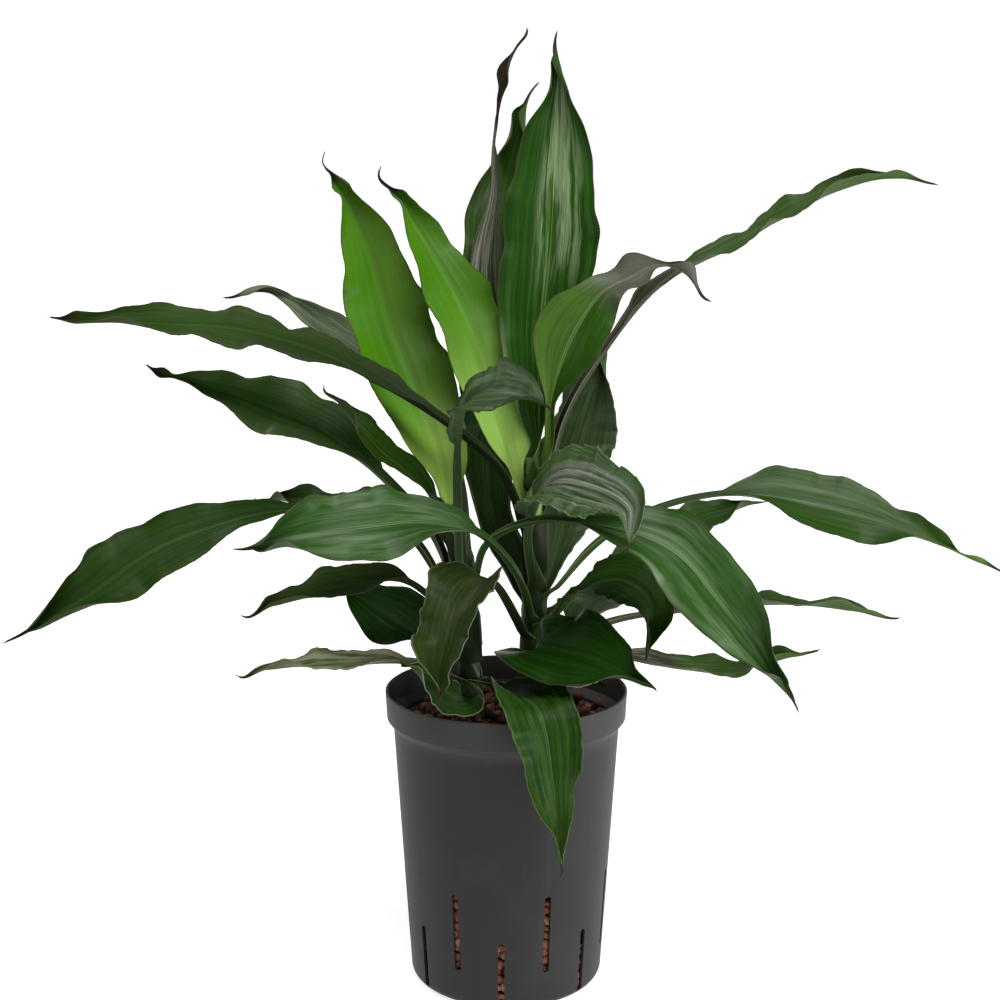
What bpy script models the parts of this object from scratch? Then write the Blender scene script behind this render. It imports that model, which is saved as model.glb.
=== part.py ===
"""Potted dracaena: two leafy canes in clay granules, in a slotted grey culture pot.

Blender 4.5 script, metres, +Z up. The origin is the centre of the pot's underside, the plant's
front faces -Y and +X is to its right. Sizes are written in millimetres and scaled by MM.
"""

import math
import random
from dataclasses import dataclass

import bmesh
import bpy
import numpy as np
from mathutils import Matrix, Vector

MM = 0.001
GAP = 0.3
MERGE_DISTANCE = 0.00001

# Pot: a culture pot of 150 mm across the rim.
RIM_RADIUS = 75.0
POT_HEIGHT = 185.0
COLLAR_HEIGHT = 17.4
COLLAR_TAPER = 0.8
STEP_HEIGHT = 5.0
WALL_TOP_RADIUS = 70.4
WALL_FOOT_RADIUS = 59.8
FOOT_ROUNDING = 6.0
WALL = 1.6
LIP_ROUNDING = 0.6
INNER_CHAMFER = 1.4
ROUNDING_STEPS = 4
POT_STEPS = 42
POT_SMOOTH_DEG = 30.0

# Slots in the pot's wall, alternately high and low round it.
SLOT_COUNT = 14
SLOT_WIDTH = 4.0
SLOT_START_DEG = -93.0
LOW_SLOT = (2.0, 44.0)
HIGH_SLOT = (23.0, 73.0)
SLOT_DEPTH = 12.0
SLOT_END_ROUNDING = 0.47

# Clay granules, a bed filled to a little below the rim.
BED_TOP = 166.0
BED_STEPS = 36
GRANULE_SIZE = (6.4, 8.8)
GRANULE_PITCH = 14.6
GRANULE_RISE = 1.6
GRANULE_SHIFT = 1.0
GRANULE_SQUASH = (1.0, 0.85, 0.7)
GRANULE_AXIS = (1.0, 1.0, 2.0)
GRANULE_SEED = 7
HEXAGON_ROW = math.sqrt(3) / 2

# Canes, each a route of points with the radius there.
CANE_FOOT = 70.0
CANE_LEFT = ((-18, -7, CANE_FOOT), (-21, -6, 170), (-24, -5, 230), (-29, -1, 280), (-31, 1, 300))
CANE_RIGHT = ((14, 6, CANE_FOOT), (16, 5, 170), (18, 4, 230), (17, 5, 280), (15, 7, 328))
CANE_RADIUS = (6.0, 6.0, 6.0, 5.6, 3.6)
CANE_SIDES = 12
CANE_ROWS = 18
CANE_SMOOTH_DEG = 50.0
CANES = {"left": CANE_LEFT, "right": CANE_RIGHT}

# Leaves: thickness, mesh, and widths of the clasping base, the stalk and the tip's thread.
BLADE = 0.9
LEAF_ROWS = (7, 24)
LEAF_ROW_LENGTH = 14.0
LEAF_COLUMNS = 4
SPINE_SAMPLES = 160
SEGMENT_SAMPLES = 40
SHEATH_WIDTH = 11.0
PETIOLE_WIDTH = 8.5
THREAD_WIDTH = 2.2
TIP_THREAD = 0.05

# The channel along a leaf's stalk: how far it is folded, and where that eases into the blade.
CLASP_GAP = 1.0
CLASP_SHARE = 0.12
CLASP_TURN_SHARE = 0.2
CLASP_FOLD_DEG = 16.0
PETIOLE_FOLD_DEG = 50.0
RIB_FOLD = 0.55
OPENING_START = 0.6
OPENING_LENGTH = 0.3

# The waves of a blade's margins: the right margin lags behind the left one.
WAVE_LENGTH = 50.0
WAVE_LAG = 2.2
WAVE_FADE = 0.7
EDGE_WOBBLE = 0.45

# Colours, linear RGB, and roughness.
POT_COLOUR = (0.05, 0.052, 0.054)
CLAY_COLOUR = (0.16, 0.06, 0.03)
CANE_COLOUR = (0.05, 0.035, 0.022)
POT_ROUGHNESS = 0.5
CLAY_ROUGHNESS = 0.9
CANE_ROUGHNESS = 0.8
LEAF_ROUGHNESS = 0.35
LEAF_COLOURS = {
    "dark": (0.018, 0.05, 0.012),
    "green": (0.03, 0.1, 0.015),
    "bright": (0.1, 0.25, 0.02),
    "grey": (0.08, 0.11, 0.07),
}


@dataclass(frozen=True)
class Leaf:
    """One leaf: where it starts on its cane, the route of its midrib and its blade's shape.

    Height and side, a compass angle, say where on the cane it starts, and width is the blade's
    widest. Heading (the side that the upper face's left and right are seen from) and roll are
    angles at even stations along it. Neck and peak are shares of its length: where the stalk ends
    and where the blade past it is widest. Fold is the blade's, ripple its margins' wave, tip how
    slowly it narrows to its end, and stalk the stalk's width.
    """

    name: str
    cane: str
    height: float
    side: float
    route: tuple
    width: float
    heading: tuple
    roll: tuple
    neck: float = 0.28
    peak: float = 0.42
    fold: float = 14.0
    ripple: float = 2.5
    tip: float = 1.15
    tone: str = "green"
    stalk: float = PETIOLE_WIDTH


LEAVES = (
    Leaf("leaf_left_top", "right", 280, -135,
         ((-5, -6, 321), (-31, -10, 346), (-65, -10, 369), (-110, 2, 392), (-165, 18, 406),
          (-220, 22, 409), (-277, 16, 413)),
         width=40, heading=(180,), roll=(0, 15, 32, 32), peak=0.58, fold=5, tip=0.75, tone="dark",
         stalk=12.0),
    Leaf("leaf_left_upper", "left", 250, 160,
         ((-47, 6, 280), (-75, 12, 312), (-112, 24, 342), (-157, 36, 360), (-200, 40, 372),
          (-225, 40, 382)),
         width=50, heading=(175,), roll=(0, 20, 42, 50), neck=0.34, peak=0.42, fold=6, tip=1.35,
         tone="dark", stalk=11.5),
    Leaf("leaf_left_long", "left", 238, 176,
         ((-65, -7, 286), (-108, 6, 295), (-146, 8, 294), (-180, 4, 286), (-217, -6, 272),
          (-256, -22, 246), (-299, -40, 224)),
         width=47, heading=(180, 190), roll=(0, 30, 55, 60), neck=0.4, peak=0.6, fold=4, tip=0.8,
         tone="green"),
    Leaf("leaf_left_back", "left", 271, 98,
         ((-58, 38, 284), (-116, 80, 286), (-171, 110, 285)),
         width=36, heading=(145,), roll=(0, 20, 20), tone="dark"),
    Leaf("leaf_left_twisted", "left", 280, 60,
         ((-30, 24, 308), (-44, 48, 343), (-69, 75, 372), (-116, 95, 403), (-160, 98, 427),
          (-186, 95, 421)),
         width=25, heading=(140, 180), roll=(0, 20, 60, 110), ripple=3.5, tone="grey"),
    Leaf("leaf_left_broad", "right", 226, -125,
         ((5, -28, 262), (-18, -46, 291), (-47, -55, 300), (-78, -68, 300), (-116, -78, 296),
          (-154, -80, 289)),
         width=50, heading=(190,), roll=(0, 20, 50, 60), neck=0.38, peak=0.55, fold=5, tip=0.75,
         tone="green"),
    Leaf("leaf_left_bright", "left", 290, 130,
         ((-42, 10, 329), (-57, 22, 368), (-73, 34, 407), (-85, 42, 450), (-98, 40, 483),
          (-110, 30, 512)),
         width=58, heading=(110,), roll=(0, 0, 0), neck=0.02, peak=0.48, tip=1.0, tone="bright"),
    Leaf("leaf_centre_bright", "right", 296, 130,
         ((-3, 18, 350), (-18, 27, 395), (-35, 36, 431), (-57, 46, 468), (-78, 52, 504)),
         width=51, heading=(125, 116, 110), roll=(0, 0, 0), neck=0.02, peak=0.45, tip=1.0, tone="bright"),
    Leaf("leaf_centre_bowed", "left", 236, -100,
         ((-27, -20, 307), (-27, -27, 345), (-22, -34, 367), (-5, -52, 374), (12, -70, 374),
          (26, -82, 366)),
         width=44, heading=(-90, -40, -30), roll=(0, 0, -20, -42, -42), neck=0.52, peak=0.5,
         fold=12, tip=0.7, tone="dark"),
    Leaf("leaf_top_tall", "right", 331, 30,
         ((21, 28, 398), (26, 34, 452), (29, 38, 507), (31, 32, 555), (30, 26, 582)),
         width=62, heading=(90,), roll=(0, 0, 0), neck=0.02, peak=0.5, tip=0.85, fold=10,
         tone="dark"),
    Leaf("leaf_top_back", "right", 236, 152,
         ((-4, 20, 270), (-12, 34, 320), (-8, 46, 372), (-6, 58, 428), (-2, 70, 484),
          (10, 78, 533), (21, 78, 557)),
         width=54, heading=(100,), roll=(0, 0, 0), neck=0.02, peak=0.64, tip=0.7, tone="dark"),
    Leaf("leaf_top_spear", "right", 268, 100,
         ((17, 27, 310), (8, 32, 350), (-4, 41, 392), (-13, 50, 437), (-7, 52, 489),
          (-7, 46, 520), (-1, 28, 560), (12, 10, 582)),
         width=23, heading=(100,), roll=(0, 0, 0), neck=0.3, peak=0.32, tip=6.5, fold=12,
         ripple=1.0, tone="grey", stalk=3.5),
    Leaf("leaf_centre_curled", "right", 306, -50,
         ((26, -4, 330), (27, -6, 365), (36, -5, 396), (46, -5, 415), (57, -4, 429), (72, 0, 437),
          (90, 4, 445), (106, 4, 440), (123, 2, 423)),
         width=47, heading=(85, 70, 30), roll=(0, 0, -5, -44, -40), neck=0.26, peak=0.32, tip=4.6,
         tone="bright", stalk=7.0),
    Leaf("leaf_right_top", "right", 290, 20,
         ((37, 24, 349), (62, 40, 390), (97, 52, 431), (141, 60, 455), (203, 62, 488),
          (246, 60, 498), (269, 56, 493)),
         width=28, heading=(20, 0), roll=(0, -8, -14, -24), neck=0.35, peak=0.6, fold=14,
         tone="dark", stalk=9.0),
    Leaf("leaf_right_upright", "right", 224, 98,
         ((34, 34, 271), (42, 52, 307), (55, 72, 350), (65, 88, 382), (68, 92, 397)),
         width=58, heading=(60,), roll=(0, 0, 0), neck=0.1, peak=0.5, tip=0.9, tone="grey"),
    Leaf("leaf_right_folded", "right", 246, -75,
         ((15, -24, 290), (25, -44, 320), (46, -68, 323), (67, -92, 314), (64, -113, 294)),
         width=48, heading=(-50, -45), roll=(0, -12, -42, -48, -40), neck=0.33, peak=0.38, fold=10,
         tip=0.85, tone="grey"),
    Leaf("leaf_right_broad", "left", 250, -12,
         ((-10, -23, 280), (19, -42, 297), (56, -62, 299), (92, -74, 289), (124, -84, 254),
          (165, -90, 197)),
         width=47, heading=(-20, -30), roll=(0, -25, -58, -62), neck=0.36, peak=0.5, fold=6,
         tip=0.85, tone="green"),
    Leaf("leaf_right_long", "right", 240, -20,
         ((60, 4, 277), (97, 6, 297), (144, 4, 306), (197, 0, 298), (251, -8, 283),
          (301, -20, 261)),
         width=50, heading=(0,), roll=(0, -10, -46, -50), neck=0.42, peak=0.36, fold=6, tip=2.1,
         tone="dark", stalk=7.0),
    Leaf("leaf_right_back", "right", 228, 10,
         ((77, 50, 254), (116, 90, 267), (155, 125, 274), (184, 145, 277)),
         width=40, heading=(42,), roll=(0, -20, -20), tone="dark"),
    Leaf("leaf_right_drooping", "right", 222, -50,
         ((50, -24, 255), (70, -38, 261), (84, -50, 250), (80, -62, 218)),
         width=42, heading=(-35, -50), roll=(0, -25, -30, -15), neck=0.12, peak=0.5, tone="green"),
    Leaf("leaf_right_low", "right", 203, 10,
         ((66, 24, 219), (111, 36, 224), (184, 50, 226), (259, 60, 214)),
         width=34, heading=(10,), roll=(0, 5, 5), tone="green"),
    Leaf("leaf_right_lowest", "right", 192, 30,
         ((62, 12, 201), (96, 19, 194), (140, 25, 189), (201, 30, 201)),
         width=32, heading=(5,), roll=(0, -6, -6), tone="dark"),
    Leaf("leaf_front_right", "right", 204, -85,
         ((18, -30, 218), (48, -63, 222), (84, -95, 211)),
         width=63, heading=(-45,), roll=(0, -35, -38), neck=0.1, peak=0.36, fold=8, tone="dark"),
    Leaf("leaf_front_hanging", "left", 192, -60,
         ((-3, -34, 194), (10, -62, 197), (19, -84, 194), (26, -93, 156), (31, -94, 100)),
         width=46, heading=(-75,), roll=(0, 0, 0), neck=0.15, peak=0.35, tone="green"),
    Leaf("leaf_front_wavy", "right", 214, -140,
         ((-12, -45, 263), (-27, -74, 259), (-35, -93, 238), (-40, -98, 205)),
         width=46, heading=(-125, -110), roll=(0, 0, 0), neck=0.44, peak=0.3, ripple=4.0, tip=0.8,
         tone="dark", stalk=7.0),
    Leaf("leaf_front_small", "left", 180, -100,
         ((-30, -34, 188), (-42, -44, 200), (-62, -52, 217)),
         width=41, heading=(-150,), roll=(0, 45, 50), neck=0.1, tone="green"),
    Leaf("leaf_left_low", "left", 190, -150,
         ((-52, -22, 205), (-93, -44, 213), (-126, -58, 215), (-157, -64, 211)),
         width=27, heading=(-160,), roll=(0, 10, 10), tone="green"),
    Leaf("leaf_left_lower", "left", 226, -150,
         ((-61, -20, 256), (-97, -46, 260), (-152, -70, 248)),
         width=36, heading=(-155,), roll=(0, 15, 15), tone="dark"),
    Leaf("leaf_left_hidden", "left", 208, 170,
         ((-52, 4, 215), (-76, 14, 229), (-110, 34, 244)),
         width=46, heading=(165,), roll=(0, 45, 45), neck=0.18, peak=0.36, tone="dark"),
    Leaf("leaf_left_young", "left", 280, -170,
         ((-48, -14, 311), (-76, -34, 341), (-104, -56, 379)),
         width=33, heading=(-150,), roll=(0, 40, 50), neck=0.12, peak=0.45, tone="green"),
    Leaf("leaf_rim_small", "right", 179, -20,
         ((36, 4, 184), (50, 14, 184), (64, 22, 180)),
         width=20, heading=(20,), roll=(0, 0, 0), neck=0.1, ripple=1.0, tone="green"),
    Leaf("leaf_back_low", "right", 198, 60,
         ((48, 42, 214), (63, 80, 221), (76, 118, 215)),
         width=40, heading=(60,), roll=(0, 0, 0), tone="dark"),
)


def smooth_route(points, samples=SPINE_SAMPLES):
    """Give evenly spaced points on the Catmull-Rom curve through the route's points."""
    pts = np.array(points, float)
    pts = np.vstack([2 * pts[0] - pts[1], pts, 2 * pts[-1] - pts[-2]])
    knots = np.concatenate([[0], np.cumsum(np.linalg.norm(np.diff(pts, axis=0), axis=1) ** 0.5)])
    curve = []
    for i in range(1, len(pts) - 2):
        for k in np.linspace(knots[i], knots[i + 1], SEGMENT_SAMPLES, endpoint=False):
            curve.append(catmull_rom(pts[i - 1:i + 3], knots[i - 1:i + 3], k))
    curve.append(pts[-2])
    curve = np.array(curve)
    run = np.concatenate([[0], np.cumsum(np.linalg.norm(np.diff(curve, axis=0), axis=1))])
    even = np.linspace(0, run[-1], samples + 1)
    return np.stack([np.interp(even, run, curve[:, axis]) for axis in range(3)], 1)


def catmull_rom(p, t, k):
    """Give the point at knot k between the middle two of four points with knots t."""
    def mix(a, b, ta, tb):
        return a + (b - a) * ((k - ta) / (tb - ta))

    a1, a2, a3 = (mix(p[i], p[i + 1], t[i], t[i + 1]) for i in range(3))
    b1, b2 = mix(a1, a2, t[0], t[2]), mix(a2, a3, t[1], t[3])
    return mix(b1, b2, t[1], t[2])


def at_stations(values, share):
    """Give the value at a share of the length, from values spread evenly along it."""
    return np.interp(share, np.linspace(0, 1, len(values)), values)


def unit(v):
    """Give vectors of unit length."""
    return v / np.linalg.norm(v, axis=-1, keepdims=True)


def smooth_step(x):
    """Ease from 0 to 1 as x goes from 0 to 1."""
    x = np.clip(x, 0, 1)
    return x * x * (3 - 2 * x)


def cane_point(cane, height):
    """Give the point of a cane's axis at a height, and the cane's radius there."""
    route = smooth_route(CANES[cane])
    x, y = (np.interp(height, route[:, 2], route[:, axis]) for axis in range(2))
    return np.array([x, y, height]), cane_radius(cane, height)


def cane_radius(cane, height):
    """Give a cane's radius at a height."""
    heights = [point[2] for point in CANES[cane]]
    return float(np.interp(height, heights, CANE_RADIUS))


def midrib(leaf):
    """Give the leaf's midrib, from just clear of the cane on the leaf's side of it to the tip."""
    axis, radius = cane_point(leaf.cane, leaf.height)
    side = math.radians(leaf.side)
    start = axis + np.array([math.cos(side), math.sin(side), 0]) * (radius + BLADE + CLASP_GAP)
    return smooth_route((tuple(start),) + leaf.route)


def length_of(route):
    """Give the length of a line of points."""
    return np.linalg.norm(np.diff(route, axis=0), axis=1).sum()


def half_width(leaf, share):
    """Give half the blade's width: a narrow base, a lance-shaped blade and a pointed tip."""
    s = np.clip((share - leaf.neck) / (1 - TIP_THREAD - leaf.neck), 0, 1)
    rise = leaf.tip * leaf.peak / (1 - leaf.peak)
    blade = (s / leaf.peak) ** rise * ((1 - s) / (1 - leaf.peak)) ** leaf.tip
    stalk = SHEATH_WIDTH + (leaf.stalk - SHEATH_WIDTH) * np.clip(share / leaf.neck, 0, 1)
    end = THREAD_WIDTH * np.clip((1 - share) / TIP_THREAD, 0, 1)
    whole = (leaf.width - leaf.stalk) * blade + stalk * (1 - s ** 1.5)
    return np.maximum(whole, end) / 2


def blade_frame(leaf, spine, share):
    """Give the midrib's points at shares of its length, with the directions right and up there."""
    along = np.linspace(0, 1, len(spine))
    mid = np.stack([np.interp(share, along, spine[:, axis]) for axis in range(3)], 1)
    slope = np.gradient(spine, axis=0)
    tangent = unit(np.stack([np.interp(share, along, slope[:, axis]) for axis in range(3)], 1))
    lean = at_stations(leaf.heading, share)
    to_side = (leaf.side - lean + 180) % 360 - 180
    heading = np.radians(lean + to_side * (1 - smooth_step(share / CLASP_TURN_SHARE)))
    level = np.stack([np.sin(heading), -np.cos(heading), np.zeros_like(heading)], 1)
    level = unit(level - tangent * np.sum(level * tangent, axis=1, keepdims=True))
    face = np.cross(level, tangent)
    roll = np.radians(at_stations(leaf.roll, share))[:, None]
    right = level * np.cos(roll) + face * np.sin(roll)
    up = face * np.cos(roll) - level * np.sin(roll)
    return mid, right, up


def fold_angle(leaf, share):
    """Give how far each half is folded up: a channel along the stalk that opens into the blade."""
    opening = OPENING_LENGTH + leaf.neck * (1 - OPENING_START)
    blade = smooth_step((share - leaf.neck * OPENING_START) / opening)
    clasp = np.clip(share / CLASP_SHARE, 0, 1)
    stalk = CLASP_FOLD_DEG + (PETIOLE_FOLD_DEG - CLASP_FOLD_DEG) * clasp
    return np.radians(stalk + (leaf.fold - stalk) * blade)


def leaf_grid(leaf, rows, columns=LEAF_COLUMNS):
    """Give the blade's points, row by row from base to tip and left to right across it."""
    spine = midrib(leaf)
    share = np.linspace(0, 1, rows + 1)
    mid, right, face = blade_frame(leaf, spine, share)
    half = half_width(leaf, share)
    fold = fold_angle(leaf, share)
    past_neck = np.clip((share - leaf.neck) / (1 - leaf.neck), 0, 1)
    swell = np.sin(math.pi * past_neck) ** WAVE_FADE
    turns = length_of(spine) / WAVE_LENGTH
    grid = []
    for u in np.linspace(-1, 1, columns + 1):
        bend = fold * (RIB_FOLD + (1 - RIB_FOLD) * abs(u))
        phase = math.tau * turns * share + (0.0 if u < 0 else WAVE_LAG)
        wave = leaf.ripple * u * abs(u) * swell
        across = u * half * np.cos(bend) + EDGE_WOBBLE * wave * np.cos(phase)
        up = abs(u) * half * np.sin(bend) + np.abs(wave) * np.sin(phase)
        grid.append(mid + right * across[:, None] + face * up[:, None])
    return np.stack(grid, 1)


def material(name, colour, roughness):
    """Make a plain Principled material from an RGB colour and a roughness."""
    mat = bpy.data.materials.new(name)
    mat.use_nodes = True
    shader = mat.node_tree.nodes["Principled BSDF"]
    shader.inputs["Base Color"].default_value = (*colour, 1.0)
    shader.inputs["Roughness"].default_value = roughness
    shader.inputs["Metallic"].default_value = 0.0
    mat.diffuse_color = (*colour, 1.0)
    return mat


def collection(name):
    """Make a collection under the scene's own."""
    made = bpy.data.collections.new(name)
    bpy.context.scene.collection.children.link(made)
    return made


def mesh_object(name, bm, home):
    """Turn a bmesh in millimetres into an object in metres."""
    bmesh.ops.scale(bm, vec=Vector((MM, MM, MM)), verts=bm.verts)
    mesh = bpy.data.meshes.new(name)
    bm.to_mesh(mesh)
    bm.free()
    obj = bpy.data.objects.new(name, mesh)
    home.objects.link(obj)
    return obj


def turned(name, profile, steps, home):
    """Turn a profile of (radius, height) points, listed down its outer side, into a solid."""
    bm = bmesh.new()
    verts = [bm.verts.new((radius, 0, height)) for radius, height in profile]
    for a, b in zip(verts, verts[1:]):
        bm.edges.new((a, b))
    obj = mesh_object(name, bm, home)
    screw = obj.modifiers.new("Turn", "SCREW")
    screw.angle = math.tau
    screw.steps = steps
    screw.render_steps = steps
    screw.use_merge_vertices = True
    screw.merge_threshold = MERGE_DISTANCE
    screw.use_smooth_shade = True
    return obj


def boolean(obj, operation, solver="EXACT", cutter=None, others=None):
    """Add a Boolean modifier with one object or a collection of them."""
    mod = obj.modifiers.new(operation.title(), "BOOLEAN")
    mod.operation = operation
    mod.solver = solver
    if others is None:
        mod.object = cutter
    else:
        mod.operand_type = "COLLECTION"
        mod.collection = others
    return mod


def apply_modifiers(obj):
    """Replace an object's mesh with its evaluated one."""
    graph = bpy.context.evaluated_depsgraph_get()
    mesh = bpy.data.meshes.new_from_object(obj.evaluated_get(graph))
    obj.modifiers.clear()
    obj.data = mesh


def as_guide(obj):
    """Keep a cutter out of the model: wire in the view and hidden in a render."""
    obj.display_type = "WIRE"
    obj.hide_render = True


def wall_radius(height):
    """Give the wall's outer radius at a height below the step."""
    top = POT_HEIGHT - COLLAR_HEIGHT
    return WALL_FOOT_RADIUS + (WALL_TOP_RADIUS - WALL_FOOT_RADIUS) * height / top


def pot_profile():
    """List the pot's half section: up its inside, over the lip and down its outside."""
    step_top = POT_HEIGHT - COLLAR_HEIGHT
    step_foot = step_top - STEP_HEIGHT
    foot = wall_radius(FOOT_ROUNDING)
    inner_foot = foot - FOOT_ROUNDING
    turns = [math.pi / 2 * step / ROUNDING_STEPS for step in range(ROUNDING_STEPS + 1)]
    rounding = [(inner_foot + FOOT_ROUNDING * math.cos(turn),
                 FOOT_ROUNDING - FOOT_ROUNDING * math.sin(turn)) for turn in turns]
    return [
        (0, WALL),
        (inner_foot, WALL),
        (foot - WALL - INNER_CHAMFER, WALL + INNER_CHAMFER),
        (foot - WALL, FOOT_ROUNDING),
        (wall_radius(step_foot) - WALL, step_foot + WALL),
        (RIM_RADIUS - COLLAR_TAPER - WALL, step_top + WALL),
        (RIM_RADIUS - WALL, POT_HEIGHT - LIP_ROUNDING),
        (RIM_RADIUS - WALL + LIP_ROUNDING, POT_HEIGHT),
        (RIM_RADIUS - LIP_ROUNDING, POT_HEIGHT),
        (RIM_RADIUS, POT_HEIGHT - LIP_ROUNDING),
        (RIM_RADIUS - COLLAR_TAPER, step_top),
        (wall_radius(step_foot), step_foot),
        *rounding,
        (0, 0),
    ]


def slot_cutters(home):
    """Make the slots' cutters, round-ended bars through the wall, as one object."""
    bm = bmesh.new()
    for index in range(SLOT_COUNT):
        low, high = LOW_SLOT if index % 2 == 0 else HIGH_SLOT
        before = set(bm.verts)
        verts = bmesh.ops.create_cube(bm, size=1.0)["verts"]
        bmesh.ops.scale(bm, vec=Vector((SLOT_DEPTH, SLOT_WIDTH, high - low)), verts=verts)
        across = {e for v in verts for e in v.link_edges
                  if abs(e.verts[0].co.x - e.verts[1].co.x) > SLOT_DEPTH / 2}
        bmesh.ops.bevel(bm, geom=list(across), offset=SLOT_WIDTH * SLOT_END_ROUNDING, segments=2,
                        profile=0.5, affect="EDGES")
        bar = [v for v in bm.verts if v not in before]
        turn = math.radians(SLOT_START_DEG + index * 360 / SLOT_COUNT)
        middle = (low + high) / 2
        radius = wall_radius(middle)
        bmesh.ops.rotate(bm, cent=Vector(), matrix=Matrix.Rotation(turn, 3, "Z"), verts=bar)
        centre = Vector((radius * math.cos(turn), radius * math.sin(turn), middle))
        bmesh.ops.translate(bm, vec=centre, verts=bar)
    obj = mesh_object("slot_cutters", bm, home)
    as_guide(obj)
    return obj


def build_pot(parts, cutters):
    """Make the pot: a turned wall with a collar and a ring of slots."""
    pot = turned("pot", pot_profile(), POT_STEPS, parts)
    boolean(pot, "DIFFERENCE", cutter=slot_cutters(cutters))
    apply_modifiers(pot)
    pot.data.shade_smooth()
    pot.data.set_sharp_from_angle(angle=math.radians(POT_SMOOTH_DEG))
    pot.data.materials.append(material("pot_plastic", POT_COLOUR, POT_ROUGHNESS))
    return pot


def cane_mesh(name, cane, extra, home):
    """Make a cane as a round bar along its route, with its radius grown by extra."""
    curve = bpy.data.curves.new(name, "CURVE")
    curve.dimensions = "3D"
    curve.bevel_depth = MM
    curve.bevel_resolution = (CANE_SIDES - 4) // 4
    curve.use_fill_caps = True
    spline = curve.splines.new("POLY")
    route = smooth_route(CANES[cane], CANE_ROWS)
    route[0][2] -= extra
    spline.points.add(len(route) - 1)
    for point, place in zip(spline.points, route):
        point.co = (*(place * MM), 1.0)
        point.radius = cane_radius(cane, place[2]) + extra
    guide = bpy.data.objects.new(name + "_route", curve)
    home.objects.link(guide)
    graph = bpy.context.evaluated_depsgraph_get()
    mesh = bpy.data.meshes.new_from_object(guide.evaluated_get(graph))
    bpy.data.objects.remove(guide)
    bm = bmesh.new()
    bm.from_mesh(mesh)
    bmesh.ops.remove_doubles(bm, verts=bm.verts, dist=MERGE_DISTANCE)
    bm.to_mesh(mesh)
    bm.free()
    obj = bpy.data.objects.new(name, mesh)
    home.objects.link(obj)
    return obj


def build_cane(cane, parts, bark):
    """Make one cane, from its foot in the granules to the growing tip."""
    obj = cane_mesh("cane_" + cane, cane, 0.0, parts)
    obj.data.shade_smooth()
    obj.data.set_sharp_from_angle(angle=math.radians(CANE_SMOOTH_DEG))
    obj.data.materials.clear()
    obj.data.materials.append(bark)
    return obj


def bed_profile():
    """List the granule bed's half section, clear of the pot's inside, down its outer side."""
    step_foot = POT_HEIGHT - COLLAR_HEIGHT - STEP_HEIGHT
    foot = wall_radius(FOOT_ROUNDING)
    top_edge = wall_radius(step_foot) - WALL - 2 * GAP
    return [
        (0, BED_TOP),
        (top_edge, BED_TOP),
        (top_edge, step_foot),
        (foot - WALL - 2 * GAP, FOOT_ROUNDING + GAP),
        (foot - FOOT_ROUNDING - GAP, WALL + GAP),
        (0, WALL + GAP),
    ]


def granule_places():
    """Scatter the top granules on a hexagonal lattice, clear of the wall."""
    rng = random.Random(GRANULE_SEED)
    reach = wall_radius(BED_TOP) - WALL - GRANULE_SIZE[1] - GRANULE_SHIFT
    row_pitch = GRANULE_PITCH * HEXAGON_ROW
    rows = int(reach / row_pitch) + 1
    for row in range(-rows, rows + 1):
        for column in range(-rows - 1, rows + 2):
            x = (column + row % 2 / 2) * GRANULE_PITCH + rng.uniform(-GRANULE_SHIFT, GRANULE_SHIFT)
            y = row * row_pitch + rng.uniform(-GRANULE_SHIFT, GRANULE_SHIFT)
            size = rng.uniform(*GRANULE_SIZE)
            turn = rng.uniform(0, math.tau)
            if math.hypot(x, y) < reach:
                yield x, y, size, turn


def build_granules(parts, cutters):
    """Make the bed of clay granules, knobbly on top, with a plain hole for each cane."""
    bed = turned("clay_granules", bed_profile(), BED_STEPS, parts)
    lumps = collection("granule_lumps")
    for index, (x, y, size, turn) in enumerate(granule_places()):
        bm = bmesh.new()
        bmesh.ops.create_icosphere(bm, subdivisions=1, radius=size)
        bmesh.ops.scale(bm, vec=Vector(GRANULE_SQUASH), verts=bm.verts)
        tumble = Matrix.Rotation(turn, 3, Vector(GRANULE_AXIS))
        bmesh.ops.rotate(bm, cent=Vector(), matrix=tumble, verts=bm.verts)
        bmesh.ops.translate(bm, vec=Vector((x, y, BED_TOP + GRANULE_RISE)), verts=bm.verts)
        mesh_object(f"granule_{index}", bm, lumps)
    boolean(bed, "UNION", solver="MANIFOLD", others=lumps)
    apply_modifiers(bed)
    for lump in list(lumps.objects):
        bpy.data.objects.remove(lump)
    bpy.data.collections.remove(lumps)
    for cane in CANES:
        hole = cane_mesh("hole_" + cane, cane, GAP, cutters)
        as_guide(hole)
        boolean(bed, "DIFFERENCE", cutter=hole)
    bed.data.materials.clear()
    bed.data.materials.append(material("fired_clay", CLAY_COLOUR, CLAY_ROUGHNESS))
    return bed


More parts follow.
